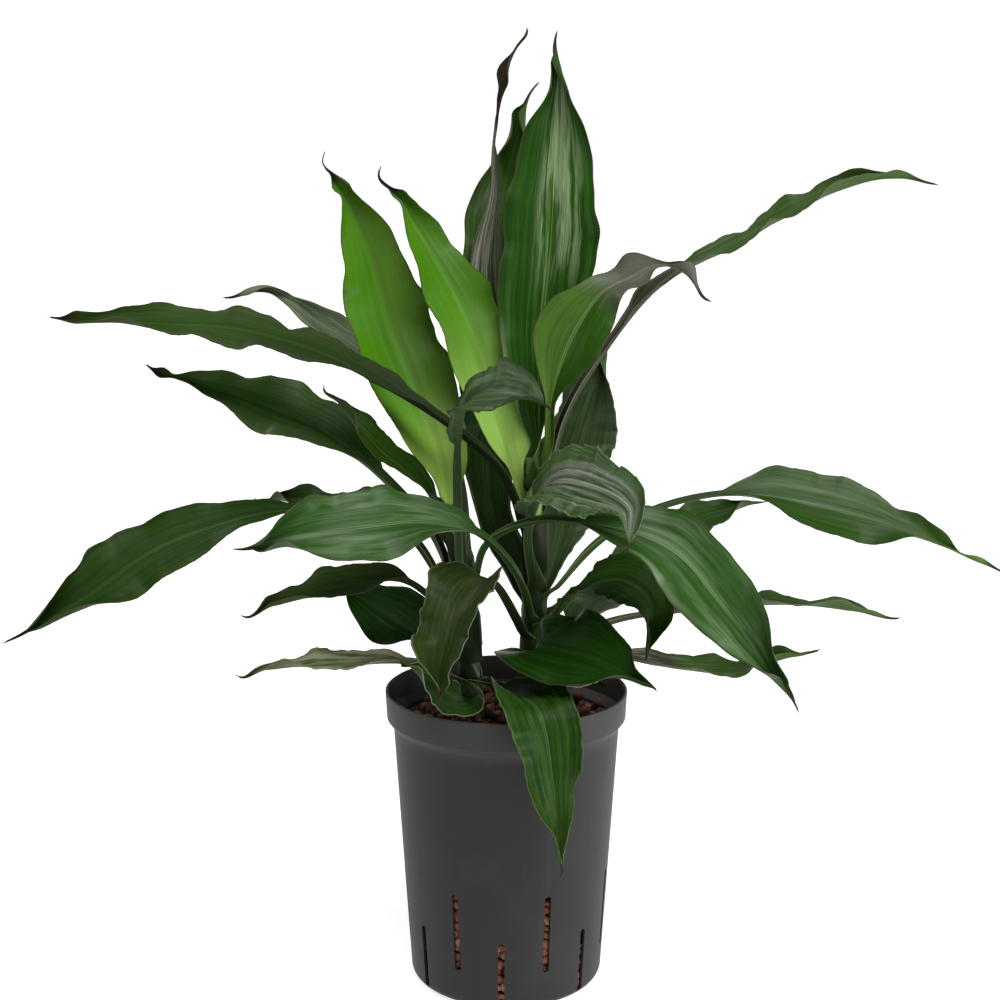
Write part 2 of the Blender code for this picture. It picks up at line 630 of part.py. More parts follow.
def build_leaf(leaf, parts, mats):
    """Make one leaf: a sheet of triangles, alike on both sides of the midrib, thickened."""
    fewest, most = LEAF_ROWS
    rows = max(fewest, min(most, round(length_of(midrib(leaf)) / LEAF_ROW_LENGTH)))
    grid = leaf_grid(leaf, rows)
    bm = bmesh.new()
    lines = [[bm.verts.new(point) for point in line] for line in grid[:-1]]
    half = LEAF_COLUMNS // 2
    tip = bm.verts.new(grid[-1][half])
    for near, far in zip(lines, lines[1:]):
        for column in range(LEAF_COLUMNS):
            a, b, c, d = near[column], near[column + 1], far[column + 1], far[column]
            if column < half:
                bm.faces.new((a, b, c))
                bm.faces.new((a, c, d))
            else:
                bm.faces.new((a, b, d))
                bm.faces.new((b, c, d))
    for a, b in zip(lines[-1], lines[-1][1:]):
        bm.faces.new((a, b, tip))
    obj = mesh_object(leaf.name, bm, parts)
    solid = obj.modifiers.new("Thickness", "SOLIDIFY")
    solid.thickness = BLADE * MM
    solid.offset = 0.0
    obj.data.shade_smooth()
    obj.data.materials.append(mats[leaf.tone])
    return obj


def main():
    """Clear the scene and build the pot, the granules, the canes and the leaves."""
    for obj in list(bpy.data.objects):
        bpy.data.objects.remove(obj)
    parts = collection("potted_dracaena")
    cutters = collection("cutters")
    build_pot(parts, cutters)
    build_granules(parts, cutters)
    bark = material("cane_bark", CANE_COLOUR, CANE_ROUGHNESS)
    for cane in CANES:
        build_cane(cane, parts, bark)
    mats = {tone: material("leaf_" + tone, colour, LEAF_ROUGHNESS)
            for tone, colour in LEAF_COLOURS.items()}
    for leaf in LEAVES:
        build_leaf(leaf, parts, mats)


main()
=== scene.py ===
"""Potted dracaena, dressed: waved and pleated leaves on two sheathed canes in a slotted pot.

Lengths are millimetres in this script and become metres where a mesh is finished. The plant's
front faces -Y, +X is to its right, and the origin is the centre of the pot's underside. Angles
round a cane are compass degrees: 0 points to +X and 90 to +Y, away from the viewer.
"""

import logging
import math
import random
from dataclasses import dataclass
from enum import Enum
from typing import Callable, Iterator, Sequence

import bmesh
import bpy
import numpy as np
from mathutils import Matrix, Vector


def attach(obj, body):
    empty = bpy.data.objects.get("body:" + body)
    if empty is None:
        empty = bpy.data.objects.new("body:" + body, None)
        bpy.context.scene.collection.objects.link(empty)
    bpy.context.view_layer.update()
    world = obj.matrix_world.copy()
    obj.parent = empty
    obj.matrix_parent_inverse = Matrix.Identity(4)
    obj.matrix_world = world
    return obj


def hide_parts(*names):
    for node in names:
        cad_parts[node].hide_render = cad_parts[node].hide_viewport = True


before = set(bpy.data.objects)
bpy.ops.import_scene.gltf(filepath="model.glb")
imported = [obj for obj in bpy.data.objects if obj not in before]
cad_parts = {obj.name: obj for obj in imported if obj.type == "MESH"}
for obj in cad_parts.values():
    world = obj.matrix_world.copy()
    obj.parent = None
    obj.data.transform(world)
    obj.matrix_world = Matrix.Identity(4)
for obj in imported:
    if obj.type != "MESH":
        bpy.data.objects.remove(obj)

MM = 0.001
BODY = "root"
LOG = logging.getLogger("dracaena")

Colour = tuple[float, float, float]
Point = tuple[float, float, float]


def operator(operation: str, swapped: bool = False) -> Callable[["Wire", object], "Wire"]:
    """Make an arithmetic method of a wire, which adds a Math node.

    Args:
        operation: The node's operation.
        swapped: Whether the wire is the second of the two values.

    Returns:
        The method.
    """
    def method(wire: "Wire", other: object) -> "Wire":
        """Add the node and give its output."""
        values = {0: other, 1: wire} if swapped else {0: wire, 1: other}
        return wire.graph.wire("ShaderNodeMath", values, operation=operation)

    return method


class Wire:
    """A shader socket that takes Python's arithmetic: each operator adds a Math node."""

    __add__ = __radd__ = operator("ADD")
    __sub__ = operator("SUBTRACT")
    __rsub__ = operator("SUBTRACT", swapped=True)
    __mul__ = __rmul__ = operator("MULTIPLY")
    __truediv__ = operator("DIVIDE")
    __pow__ = operator("POWER")

    def __init__(self, graph: "Graph", socket: bpy.types.NodeSocket) -> None:
        """Hold an output socket of a graph."""
        self.graph = graph
        self.socket = socket

    def absolute(self) -> "Wire":
        """Give the value without its sign."""
        return self.graph.wire("ShaderNodeMath", {0: self}, operation="ABSOLUTE")

    def step(self, low: float, high: float) -> "Wire":
        """Ease from 0 to 1 between two values, or from 1 to 0 where low is the larger.

        Args:
            low: The value where the step is 0.
            high: The value where the step is 1.

        Returns:
            The eased mask.
        """
        values = {0: self, 1: min(low, high), 2: max(low, high)}
        values[3], values[4] = (0.0, 1.0) if low < high else (1.0, 0.0)
        return self.graph.wire("ShaderNodeMapRange", values, interpolation_type="SMOOTHSTEP")


class Graph:
    """A node graph that is being written."""

    def __init__(self, tree: bpy.types.NodeTree) -> None:
        """Hold the node tree that the graph writes to."""
        self.tree = tree

    def node(self, kind: str, values: dict, **settings: object) -> bpy.types.Node:
        """Add a node.

        Args:
            kind: The node's type.
            values: Values or wires by input name or number.
            **settings: The node's own settings, which are set first.

        Returns:
            The new node.
        """
        made = self.tree.nodes.new(kind)
        for key, value in settings.items():
            setattr(made, key, value)
        for key, value in values.items():
            self.feed(made.inputs[key], value)
        return made

    def feed(self, socket: bpy.types.NodeSocket, value: object) -> None:
        """Link a wire to an input, or set the input's own value.

        Args:
            socket: The input.
            value: A wire, a number or a colour.
        """
        if isinstance(value, Wire):
            self.tree.links.new(value.socket, socket)
        elif isinstance(value, tuple) and socket.type == "RGBA":
            socket.default_value = (*value, 1.0)
        else:
            socket.default_value = value

    def wire(self, kind: str, values: dict, output: int | str = 0, **settings: object) -> Wire:
        """Add a node as node() does, and give one of its outputs by name or number."""
        return Wire(self, self.node(kind, values, **settings).outputs[output])

    def place(self) -> Wire:
        """Give the place on the object, in metres."""
        return self.wire("ShaderNodeTexCoord", {}, "Object")

    def parts(self, vector: Wire) -> tuple[Wire, Wire, Wire]:
        """Split a vector into its three numbers."""
        node = self.node("ShaderNodeSeparateXYZ", {0: vector})
        return tuple(Wire(self, output) for output in node.outputs)

    def vector(self, x: object, y: object, z: object = 0.0) -> Wire:
        """Join three numbers into a vector."""
        return self.wire("ShaderNodeCombineXYZ", {0: x, 1: y, 2: z})

    def noise(self, vector: Wire, scale: float, detail: float = 2.0, rough: float = 0.5) -> Wire:
        """Give cloudy noise between 0 and 1, scale clouds to a unit, with finer layers in it."""
        values = {"Vector": vector, "Scale": scale, "Detail": detail, "Roughness": rough}
        return self.wire("ShaderNodeTexNoise", values)

    def mix(self, share: object, first: object, second: object) -> Wire:
        """Mix two colours.

        Args:
            share: 0 for the first colour, 1 for the second.
            first: A colour or a wire.
            second: A colour or a wire.

        Returns:
            The mixed colour.
        """
        node = self.tree.nodes.new("ShaderNodeMix")
        node.data_type = "RGBA"
        for name, value in (("Factor", share), ("A", first), ("B", second)):
            socket = next(s for s in node.inputs if s.name == name and s.enabled)
            self.feed(socket, value)
        return Wire(self, next(s for s in node.outputs if s.enabled))


class Surface(Graph):
    """The node graph of one material, around a Principled shader."""

    def __init__(self, name: str) -> None:
        """Start a material with an empty graph.

        Args:
            name: The material's name.
        """
        self.material = bpy.data.materials.new(name)
        self.material.use_nodes = True
        super().__init__(self.material.node_tree)
        self.tree.nodes.clear()
        self.shader = self.tree.nodes.new("ShaderNodeBsdfPrincipled")
        output = self.tree.nodes.new("ShaderNodeOutputMaterial")
        self.tree.links.new(self.shader.outputs[0], output.inputs["Surface"])

    def bump(self, height: Wire, distance: float, strength: float) -> Wire:
        """Turn a height between 0 and 1 into a normal, with the distance in millimetres."""
        values = {"Height": height, "Distance": distance * MM, "Strength": strength}
        return self.wire("ShaderNodeBump", values)

    def finish(self, **values: object) -> bpy.types.Material:
        """Set the shader's inputs.

        Args:
            **values: Values or wires by the input's name, with _ for a space.

        Returns:
            The material.
        """
        for name, value in values.items():
            self.feed(self.shader.inputs[name.replace("_", " ")], value)
        return self.material


@dataclass(frozen=True)
class LeafFinish:
    """The skin of a leaf: green bands with fine veins, a double rib line, a margin and a foot.

    Sheen is painted highlight: grey glossy reflection painted over the upper side in bands and
    towards the margins, weaker below, and its colour also draws the veins and the tail's streaks.
    Tail is the colour that the leaf turns to near its end, and hem the stalk's thin pale margin.
    """

    deep: Colour
    light: Colour
    under: Colour
    # Pale: the rib lines' colour, the rib's own paler tone with painted highlight.
    pale: Colour = (0.10, 0.15, 0.05)
    # Foot: the colour near the cane. The dark feet are painted shade near the crown; the pale feet of the
    # bright looks are the young leaves' own colour.
    foot: Colour = (0.009, 0.0095, 0.004)
    edge: Colour = (0.035, 0.028, 0.012)
    # Painted highlight colour: grey glossy reflection painted into the skin; it also draws the fine veins
    # and the tail's streaks.
    sheen: Colour = (0.11, 0.14, 0.085)
    tail: Colour = (0.05, 0.06, 0.03)
    hem: Colour = (0.16, 0.2, 0.1)
    hem_show: float = 0.4
    dry_from: float = 0.945
    sheen_show: float = 0.12
    sheen_bands: float = 8.0
    sheen_limits: tuple[float, float] = (0.48, 0.66)
    sheen_across: tuple[float, float] = (-1.0, -0.5)
    sheen_ends: tuple[float, float] = (2.0, 1.5)
    sheen_along: tuple[float, float] = (0.12, 0.3)
    # Painted reflection along the margins.
    edge_sheen: float = 0.0
    tail_from: float = 2.0
    foot_reach: float = 0.16
    # Painted shade: how much darker the blade's right half is painted, towards deep.
    painted_half_shade: float = 0.0
    band_show: float = 1.0
    vein_show: float = 0.12
    rib_show: float = 0.55
    margin_show: float = 0.6
    roughness: float = 0.38
    gloss: float = 0.1
    relief: float = 0.7

    DRY = (0.022, 0.017, 0.009)
    SWAYS = (3.0, 7.0)
    SWAY_REACH = 0.05
    THREADS = (100.0, 4.0)
    BANDS = (26.0, 2.5)
    PAINTED_SHEEN_ALONG = 4.5
    CLOUDS = 30.0
    BAND_LIMITS = (0.7, 0.3)
    SHADED_HALF_LIMITS = (0.46, 0.6)
    CLOUD_LIMITS = (0.35, 0.75)
    TAIL_LIMITS = (0.55, 0.75)
    VEIN_LIMITS = (0.5, 0.8)
    EDGE_PAINTED_SHEEN = (0.3, 1.0)
    TIP_PAINTED_SHEEN = (1.0, 0.85)
    RIB_OUTSIDE = (0.085, 0.06)
    RIB_INSIDE = (0.02, 0.045)
    RIB_FADE = 0.6
    MARGIN = (0.96, 0.985)
    HEM_ACROSS = (0.86, 0.95)
    HEM_TOP = (0.4, 0.25)
    HEM_FOOT = (0.06, 0.1)
    TAIL_OVER = 0.12
    DRY_OVER = 0.025
    FOOT_STRENGTH = 0.85
    # Painted highlight is weaker on the underside.
    UNDER_SHEEN = 0.4
    UNDER_ROUGHNESS = 0.12

    def skin(self, name: str, seed: float, underside: bool) -> bpy.types.Material:
        """Make one side's material on the leaf's own map, U across it and V along it.

        Args:
            name: The material's name.
            seed: Shifts the patterns from leaf to leaf.
            underside: Whether it is the lower side, which is plainer and duller.

        Returns:
            The material.
        """
        g = Surface(name)
        u, v, _ = g.parts(g.wire("ShaderNodeUVMap", {}, uv_map=Leaf.MAP))
        across = (u * 2.0 - 1.0).absolute()

        def streaks(side: Wire, count: tuple[float, float], shift: float, *finer: float) -> Wire:
            """Give noise drawn out along the leaf, so many streaks across it and along it."""
            return g.noise(g.vector(side * count[0], v * count[1], seed + shift), 1.0, *finer)

        sway = streaks(u, self.SWAYS, 5.0) * self.SWAY_REACH + u
        threads = streaks(sway, self.THREADS, 0.0)
        bands = streaks(sway, self.BANDS, 3.0, 3.0)
        painted_sheen_noise = streaks(sway, (self.sheen_bands, self.PAINTED_SHEEN_ALONG), 9.0, 3.0, 0.6)
        cloud = g.noise(g.place(), self.CLOUDS, 3.0)
        light = self.under if underside else self.light
        colour = g.mix(1.0 - bands.step(*self.BAND_LIMITS) * self.band_show, self.deep, light)
        # Painted shade: the right half of the blade is darkened towards deep.
        if self.painted_half_shade:
            colour = g.mix(u.step(*self.SHADED_HALF_LIMITS) * self.painted_half_shade, colour, self.deep)
        colour = g.mix(cloud.step(*self.CLOUD_LIMITS) * 0.3, colour, self.deep)
        # Painted highlight: glossy reflection painted in bands over the blade, and along the margins by
        # edge_sheen.
        sheen_show = self.sheen_show * (self.UNDER_SHEEN if underside else 1.0)
        sheen = painted_sheen_noise.step(*self.sheen_limits) * sheen_show
        sheen = sheen + across.step(*self.EDGE_PAINTED_SHEEN) * self.edge_sheen
        sheen = sheen * (threads * 1.6 + 0.2) * v.step(*self.sheen_along) * v.step(*self.TIP_PAINTED_SHEEN)
        sheen = sheen * u.step(*self.sheen_across) * u.step(*self.sheen_ends)
        colour = g.mix(sheen, colour, self.sheen)
        tail = g.mix(threads.step(*self.TAIL_LIMITS) * 0.6, self.tail, self.sheen)
        colour = g.mix(v.step(self.tail_from, self.tail_from + self.TAIL_OVER), colour, tail)
        colour = g.mix(threads.step(*self.VEIN_LIMITS) * self.vein_show, colour, self.sheen)
        # Pale double line on either side of the midrib groove: the rib's own paler colour with painted
        # highlight on the groove's edges.
        rib = across.step(*self.RIB_OUTSIDE) * across.step(*self.RIB_INSIDE)
        rib = rib * (1.0 - v) ** self.RIB_FADE
        colour = g.mix(rib * self.rib_show, colour, self.pale)
        colour = g.mix(across.step(*self.MARGIN) * self.margin_show, colour, self.edge)
        # Near the cane: painted shade where the foot is dark, the leaf's own pale base where it is pale.
        foot = v.step(self.foot_reach, self.foot_reach * 0.2) * self.FOOT_STRENGTH
        colour = g.mix(foot, colour, self.foot)
        hem = across.step(*self.HEM_ACROSS) * v.step(*self.HEM_TOP) * v.step(*self.HEM_FOOT)
        colour = g.mix(hem * self.hem_show, colour, self.hem)
        colour = g.mix(v.step(self.dry_from, self.dry_from + self.DRY_OVER), colour, self.DRY)
        rough = self.roughness + (self.UNDER_ROUGHNESS if underside else 0.0)
        return g.finish(
            Base_Color=colour,
            Roughness=threads * 0.12 + cloud * 0.1 + (rough - 0.11),
            Specular_IOR_Level=self.gloss,
            Normal=g.bump(threads * 0.4 + bands * 0.6, 0.5, self.relief),
        )


class Tone(Enum):
    """The leaves' tones, named as material slots for leaves."""

    DARK = "leaf_dark"
    GREEN = "leaf_green"
    BRIGHT = "leaf_bright"
    GREY = "leaf_grey"


class Look(Enum):
    """The leaf finishes, named for how they look."""

    DARK = LeafFinish(
        (0.008, 0.025, 0.0025), (0.016, 0.046, 0.004), (0.024, 0.046, 0.010))
    GREEN = LeafFinish(
        (0.006, 0.020, 0.0006), (0.010, 0.034, 0.001), (0.018, 0.04, 0.005), sheen=(0.06, 0.09, 0.035),
        sheen_show=0.08, vein_show=0.1, roughness=0.46, gloss=0.08)
    DEEP = LeafFinish(
        (0.003, 0.018, 0.0004), (0.007, 0.036, 0.0006), (0.014, 0.034, 0.004), sheen_show=0.0,
        vein_show=0.05, rib_show=0.2, gloss=0.1, foot_reach=0.3)
    MOSS = LeafFinish(
        (0.012, 0.042, 0.003), (0.024, 0.072, 0.005), (0.028, 0.055, 0.012), sheen=(0.09, 0.095, 0.055),
        edge_sheen=0.12, foot_reach=0.42)
    # Painted shade: a dark foot that reaches far along the blade.
    OLIVE = LeafFinish(
        (0.011, 0.034, 0.003), (0.02, 0.055, 0.004), (0.03, 0.042, 0.015), sheen=(0.09, 0.085, 0.05),
        sheen_show=0.14, edge_sheen=0.12, pale=(0.12, 0.15, 0.07), foot=(0.006, 0.009, 0.003),
        foot_reach=0.9, hem_show=0.1, roughness=0.5, gloss=0.05)
    DUSKY = LeafFinish(
        (0.008, 0.018, 0.002), (0.016, 0.03, 0.004), (0.02, 0.034, 0.01), sheen=(0.08, 0.075, 0.045),
        sheen_show=0.2, sheen_bands=4.0, vein_show=0.1, rib_show=0.2, gloss=0.08, roughness=0.45,
        edge=(0.1, 0.11, 0.07), foot_reach=0.25)
    UMBER = LeafFinish(
        (0.013, 0.018, 0.007), (0.026, 0.031, 0.014), (0.04, 0.045, 0.025), sheen=(0.14, 0.135, 0.105),
        sheen_show=0.4, tail=(0.026, 0.06, 0.009), tail_from=0.5)
    STREAKED = LeafFinish(
        (0.010, 0.032, 0.003), (0.018, 0.052, 0.005), (0.04, 0.075, 0.018), pale=(0.15, 0.18, 0.11),
        sheen=(0.13, 0.14, 0.10), sheen_show=0.26, edge_sheen=0.08, sheen_bands=9.0,
        sheen_ends=(0.8, 0.55), tail=(0.045, 0.11, 0.01), tail_from=0.78, rib_show=0.8)
    BROWNED = LeafFinish(
        (0.014, 0.034, 0.004), (0.026, 0.07, 0.006), (0.045, 0.055, 0.022), sheen=(0.26, 0.27, 0.17),
        sheen_show=0.75, edge_sheen=0.2, sheen_limits=(0.4, 0.6))
    # Painted highlight: whitish glossy patches painted over the blade.
    PAINTED_SHEEN = LeafFinish(
        (0.010, 0.036, 0.003), (0.018, 0.060, 0.006), (0.024, 0.055, 0.010), pale=(0.15, 0.21, 0.10),
        sheen=(0.17, 0.24, 0.14), sheen_show=0.32, sheen_bands=5.0, sheen_limits=(0.42, 0.7),
        rib_show=0.7, roughness=0.34)
    GLOSSY = LeafFinish(
        (0.005, 0.028, 0.0004), (0.012, 0.052, 0.0012), (0.02, 0.05, 0.006), pale=(0.14, 0.2, 0.07),
        sheen=(0.2, 0.27, 0.14), sheen_show=0.6, sheen_bands=11.0, sheen_limits=(0.42, 0.6),
        sheen_across=(0.25, 0.4), sheen_ends=(0.98, 0.72), sheen_along=(0.36, 0.64), vein_show=0.1,
        foot_reach=0.05, gloss=0.07)
    BOWED = LeafFinish(
        (0.012, 0.030, 0.007), (0.024, 0.052, 0.014), (0.025, 0.045, 0.012), sheen=(0.15, 0.185, 0.12),
        sheen_show=0.3, edge_sheen=0.05, sheen_bands=5.0, pale=(0.16, 0.22, 0.11))
    SLATE = LeafFinish(
        (0.018, 0.036, 0.009), (0.032, 0.060, 0.016), (0.03, 0.05, 0.016), sheen=(0.10, 0.13, 0.075),
        sheen_show=0.22, margin_show=0.9, edge=(0.07, 0.08, 0.04))
    SAGE = LeafFinish(
        (0.05, 0.075, 0.032), (0.085, 0.115, 0.06), (0.11, 0.135, 0.08), sheen=(0.24, 0.27, 0.19),
        sheen_show=0.45, vein_show=0.3)
    SILVER = LeafFinish(
        (0.020, 0.032, 0.012), (0.045, 0.060, 0.03), (0.03, 0.045, 0.016), sheen=(0.25, 0.235, 0.195),
        sheen_show=0.7, sheen_bands=18.0, sheen_limits=(0.42, 0.62), sheen_ends=(0.8, 0.6),
        vein_show=0.25, dry_from=0.8)
    FOLDED = LeafFinish(
        (0.014, 0.042, 0.006), (0.026, 0.068, 0.012), (0.03, 0.05, 0.016), sheen=(0.2, 0.2, 0.17),
        sheen_show=0.9, sheen_bands=15.0, sheen_limits=(0.34, 0.62), sheen_across=(0.02, 0.4),
        sheen_ends=(1.0, 0.6), sheen_along=(0.3, 0.55), vein_show=0.35, edge=(0.1, 0.12, 0.07))
    CRIMPED = LeafFinish(
        (0.004, 0.018, 0.0004), (0.012, 0.042, 0.001), (0.02, 0.048, 0.006), sheen=(0.06, 0.1, 0.03),
        sheen_show=0.16, sheen_bands=7.0, edge=(0.06, 0.085, 0.03), tail=(0.03, 0.065, 0.009),
        tail_from=0.8, vein_show=0.06, roughness=0.44, gloss=0.08)
    EDGED = LeafFinish(
        (0.009, 0.03, 0.002), (0.018, 0.055, 0.005), (0.025, 0.055, 0.009), edge=(0.2, 0.26, 0.13),
        margin_show=0.7, sheen_show=0.05)
    # The bright looks' light greens are the young leaves' own colour, partly lightened as painted glow of
    # light shining through them.
    BRIGHT = LeafFinish(
        (0.042, 0.098, 0.006), (0.034, 0.128, 0.0004), (0.05, 0.12, 0.008), pale=(0.11, 0.22, 0.03),
        foot=(0.22, 0.35, 0.065), sheen=(0.09, 0.17, 0.02), sheen_show=0.04, foot_reach=0.45,
        painted_half_shade=0.9, band_show=0.3, vein_show=0.04, rib_show=0.3, margin_show=0.5, roughness=0.42,
        gloss=0.1, relief=0.08, hem_show=0.0, dry_from=0.912)
    PALE_FOOT = LeafFinish(
        (0.038, 0.100, 0.006), (0.038, 0.132, 0.001), (0.06, 0.15, 0.01), pale=(0.15, 0.28, 0.05),
        foot=(0.23, 0.37, 0.08), sheen=(0.10, 0.2, 0.03), sheen_show=0.06, foot_reach=0.66, painted_half_shade=0.5,
        band_show=0.3, vein_show=0.05, rib_show=0.4, margin_show=0.5, roughness=0.42, gloss=0.1,
        relief=0.08, hem_show=0.0, dry_from=0.912)
    CURLED = LeafFinish(
        (0.012, 0.048, 0.001), (0.044, 0.100, 0.009), (0.05, 0.12, 0.01), pale=(0.2, 0.3, 0.1),
        foot=(0.13, 0.21, 0.05), sheen=(0.12, 0.18, 0.065), sheen_show=0.15, tail=(0.06, 0.06, 0.045),
        tail_from=0.6, foot_reach=0.3, painted_half_shade=0.95, band_show=0.5, vein_show=0.1, rib_show=0.6,
        margin_show=0.8, roughness=0.38, gloss=0.1, relief=0.2, hem_show=0.0)


DEFAULT_LOOKS = {Tone.DARK: Look.DARK, Tone.GREEN: Look.GREEN, Tone.BRIGHT: Look.BRIGHT,
                 Tone.GREY: Look.SILVER}


@dataclass(frozen=True)
class PlasticFinish:
    """Dull grey moulded plastic with a faint grain and a little dust, and painted light on the collar."""

    colour: Colour = (0.0135, 0.0141, 0.0135)
    dust_and_painted_light: Colour = (0.05, 0.051, 0.048)
    collar: tuple[float, float] = (0.155, 0.164)
    # Painted light: how much lighter the collar is painted.
    collar_painted_light: float = 0.34
    clouds: float = 22.0
    grains: float = 1500.0
    drags: tuple[float, float] = (90.0, 4.0)
    roughness: float = 0.55
    gloss: float = 0.2

    def make(self, name: str) -> bpy.types.Material:
        """Make the material.

        Args:
            name: The material's name.

        Returns:
            The material.
        """
        g = Surface(name)
        place = g.place()
        x, y, z = g.parts(place)
        cloud = g.noise(place, self.clouds, 4.0)
        grain = g.noise(place, self.grains)
        round_it, along = self.drags
        drag = g.noise(g.vector(x * round_it, y * round_it, z * along), 1.0)
        dust_and_painted_light = cloud.step(0.5, 0.85) * 0.22 + drag.step(0.55, 0.8) * 0.1
        # Painted light: the collar is painted lighter, towards the dust colour.
        dust_and_painted_light = dust_and_painted_light + z.step(*self.collar) * self.collar_painted_light
        return g.finish(
            Base_Color=g.mix(dust_and_painted_light, self.colour, self.dust_and_painted_light),
            Roughness=cloud * 0.12 + grain * 0.06 + (self.roughness - 0.09),
            Specular_IOR_Level=self.gloss,
            Normal=g.bump(grain * 0.6 + drag * 0.4, 0.08, 0.35),
        )


@dataclass(frozen=True)
class ClayFinish:
    """Fired clay granules: reddish brown, porous, each tinted at random, with painted light and shade."""

    dark: Colour = (0.03, 0.011, 0.007)
    red: Colour = (0.22, 0.07, 0.036)
    tan: Colour = (0.5, 0.25, 0.14)
    pores: float = 900.0
    patches: float = 260.0

    def make(self, name: str) -> bpy.types.Material:
        """Make the material, which reads each granule's tint from the mesh.

        Args:
            name: The material's name.

        Returns:
            The material.
        """
        g = Surface(name)
        tint = g.wire("ShaderNodeAttribute", {}, "Fac", attribute_name=Granules.TINT)
        place = g.place()
        pores = g.noise(place, self.pores, 3.0)
        patches = g.noise(place, self.patches, 3.0)
        colour = g.mix(tint.step(0.0, 0.75), self.dark, self.red)
        colour = g.mix(tint.step(0.8, 1.0) * 0.7, colour, self.tan)
        colour = g.mix(patches.step(0.55, 0.8) * 0.4, colour, self.tan)
        colour = g.mix(pores.step(0.5, 0.35) * 0.6, colour, self.dark)
        return g.finish(
            Base_Color=colour,
            Roughness=pores * 0.15 + 0.8,
            Normal=g.bump(pores, 0.5, 0.7),
        )


@dataclass(frozen=True)
class CaneFinish:
    """Dark brown bark with pale rings below, wrapped green above."""

    bark: Colour = (0.013, 0.008, 0.005)
    scar: Colour = (0.045, 0.028, 0.016)
    green: Colour = (0.045, 0.095, 0.02)
    green_from: float = 232.0
    green_full: float = 268.0
    green_wander: float = 24.0
    flakes: float = 160.0
    rings: tuple[float, float] = (6.0, 260.0)

    def make(self, name: str) -> bpy.types.Material:
        """Make the material.

        Args:
            name: The material's name.

        Returns:
            The material.
        """
        g = Surface(name)
        place = g.place()
        x, y, z = g.parts(place)
        rough = g.noise(place, self.flakes, 3.0)
        round_it, along = self.rings
        rings = g.noise(g.vector(x * round_it, y * round_it, z * along), 1.0)
        colour = g.mix(rings.step(0.5, 0.7) * 0.7, self.bark, self.scar)
        height = z / MM + rough * self.green_wander - self.green_wander / 2
        colour = g.mix(height.step(self.green_from, self.green_full), colour, self.green)
        return g.finish(
            Base_Color=colour,
            Roughness=rough * 0.2 + 0.6,
            Normal=g.bump(rings * 0.7 + rough * 0.3, 0.8, 0.7),
        )


@dataclass(frozen=True)
class PaperFinish:
    """The pale studio floor, softly lit from below."""

    colour: Colour = (0.4, 0.4, 0.4)
    glow: Colour = (0.78, 0.78, 0.78)
    fibres: float = 40.0
    fibre_shade: float = 0.99

    def make(self, name: str) -> bpy.types.Material:
        """Make the material.

        Args:
            name: The material's name.

        Returns:
            The material.
        """
        g = Surface(name)
        fibre = g.noise(g.place(), self.fibres)
        shade = tuple(part * self.fibre_shade for part in self.colour)
        return g.finish(Base_Color=g.mix(fibre, self.colour, shade), Roughness=0.9,
                        Emission_Color=self.glow, Emission_Strength=1.0)


def smooth_step(x: np.ndarray) -> np.ndarray:
    """Ease from 0 to 1 as x goes from 0 to 1."""
    x = np.clip(x, 0, 1)
    return x * x * (3 - 2 * x)


def at_stations(values: Sequence[float], share: np.ndarray) -> np.ndarray:
    """Read values spread evenly along a leaf, from foot to tip, at shares of its length."""
    return np.interp(share, np.linspace(0, 1, len(values)), values)


def unit(vectors: np.ndarray) -> np.ndarray:
    """Give vectors of unit length."""
    return vectors / np.linalg.norm(vectors, axis=-1, keepdims=True)


def put(name: str, data: bpy.types.ID) -> bpy.types.Object:
    """Put a new object into the scene.

    Args:
        name: The object's name.
        data: Its mesh, light or camera.

    Returns:
        The object.
    """
    obj = bpy.data.objects.new(name, data)
    bpy.context.scene.collection.objects.link(obj)
    return obj


def finished(name: str, bm: bmesh.types.BMesh, *materials: bpy.types.Material) -> bpy.types.Object:
    """Turn a bmesh in millimetres into an object in metres, smooth and dressed.

    Args:
        name: The object's name.
        bm: The mesh, which is freed.
        *materials: The object's materials.

    Returns:
        The object, at the origin.
    """
    bmesh.ops.scale(bm, vec=Vector((MM, MM, MM)), verts=bm.verts)
    mesh = bpy.data.meshes.new(name)
    bm.to_mesh(mesh)
    bm.free()
    mesh.shade_smooth()
    for material in materials:
        mesh.materials.append(material)
    return put(name, mesh)


def settle(obj: bpy.types.Object, sharp_deg: float) -> None:
    """Apply an object's modifiers and keep its sharper edges sharp.

    Args:
        obj: The object.
        sharp_deg: The angle above which an edge stays sharp.
    """
    graph = bpy.context.evaluated_depsgraph_get()
    mesh = bpy.data.meshes.new_from_object(obj.evaluated_get(graph))
    obj.modifiers.clear()
    obj.data = mesh
    mesh.shade_smooth()
    mesh.set_sharp_from_angle(angle=math.radians(sharp_deg))


def stand_for(obj: bpy.types.Object, node: str) -> None:
    """Let a piece replace a solid of the frame, on the body.

    Args:
        obj: The piece.
        node: The frame's node.
    """
    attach(obj, BODY)
    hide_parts(node)


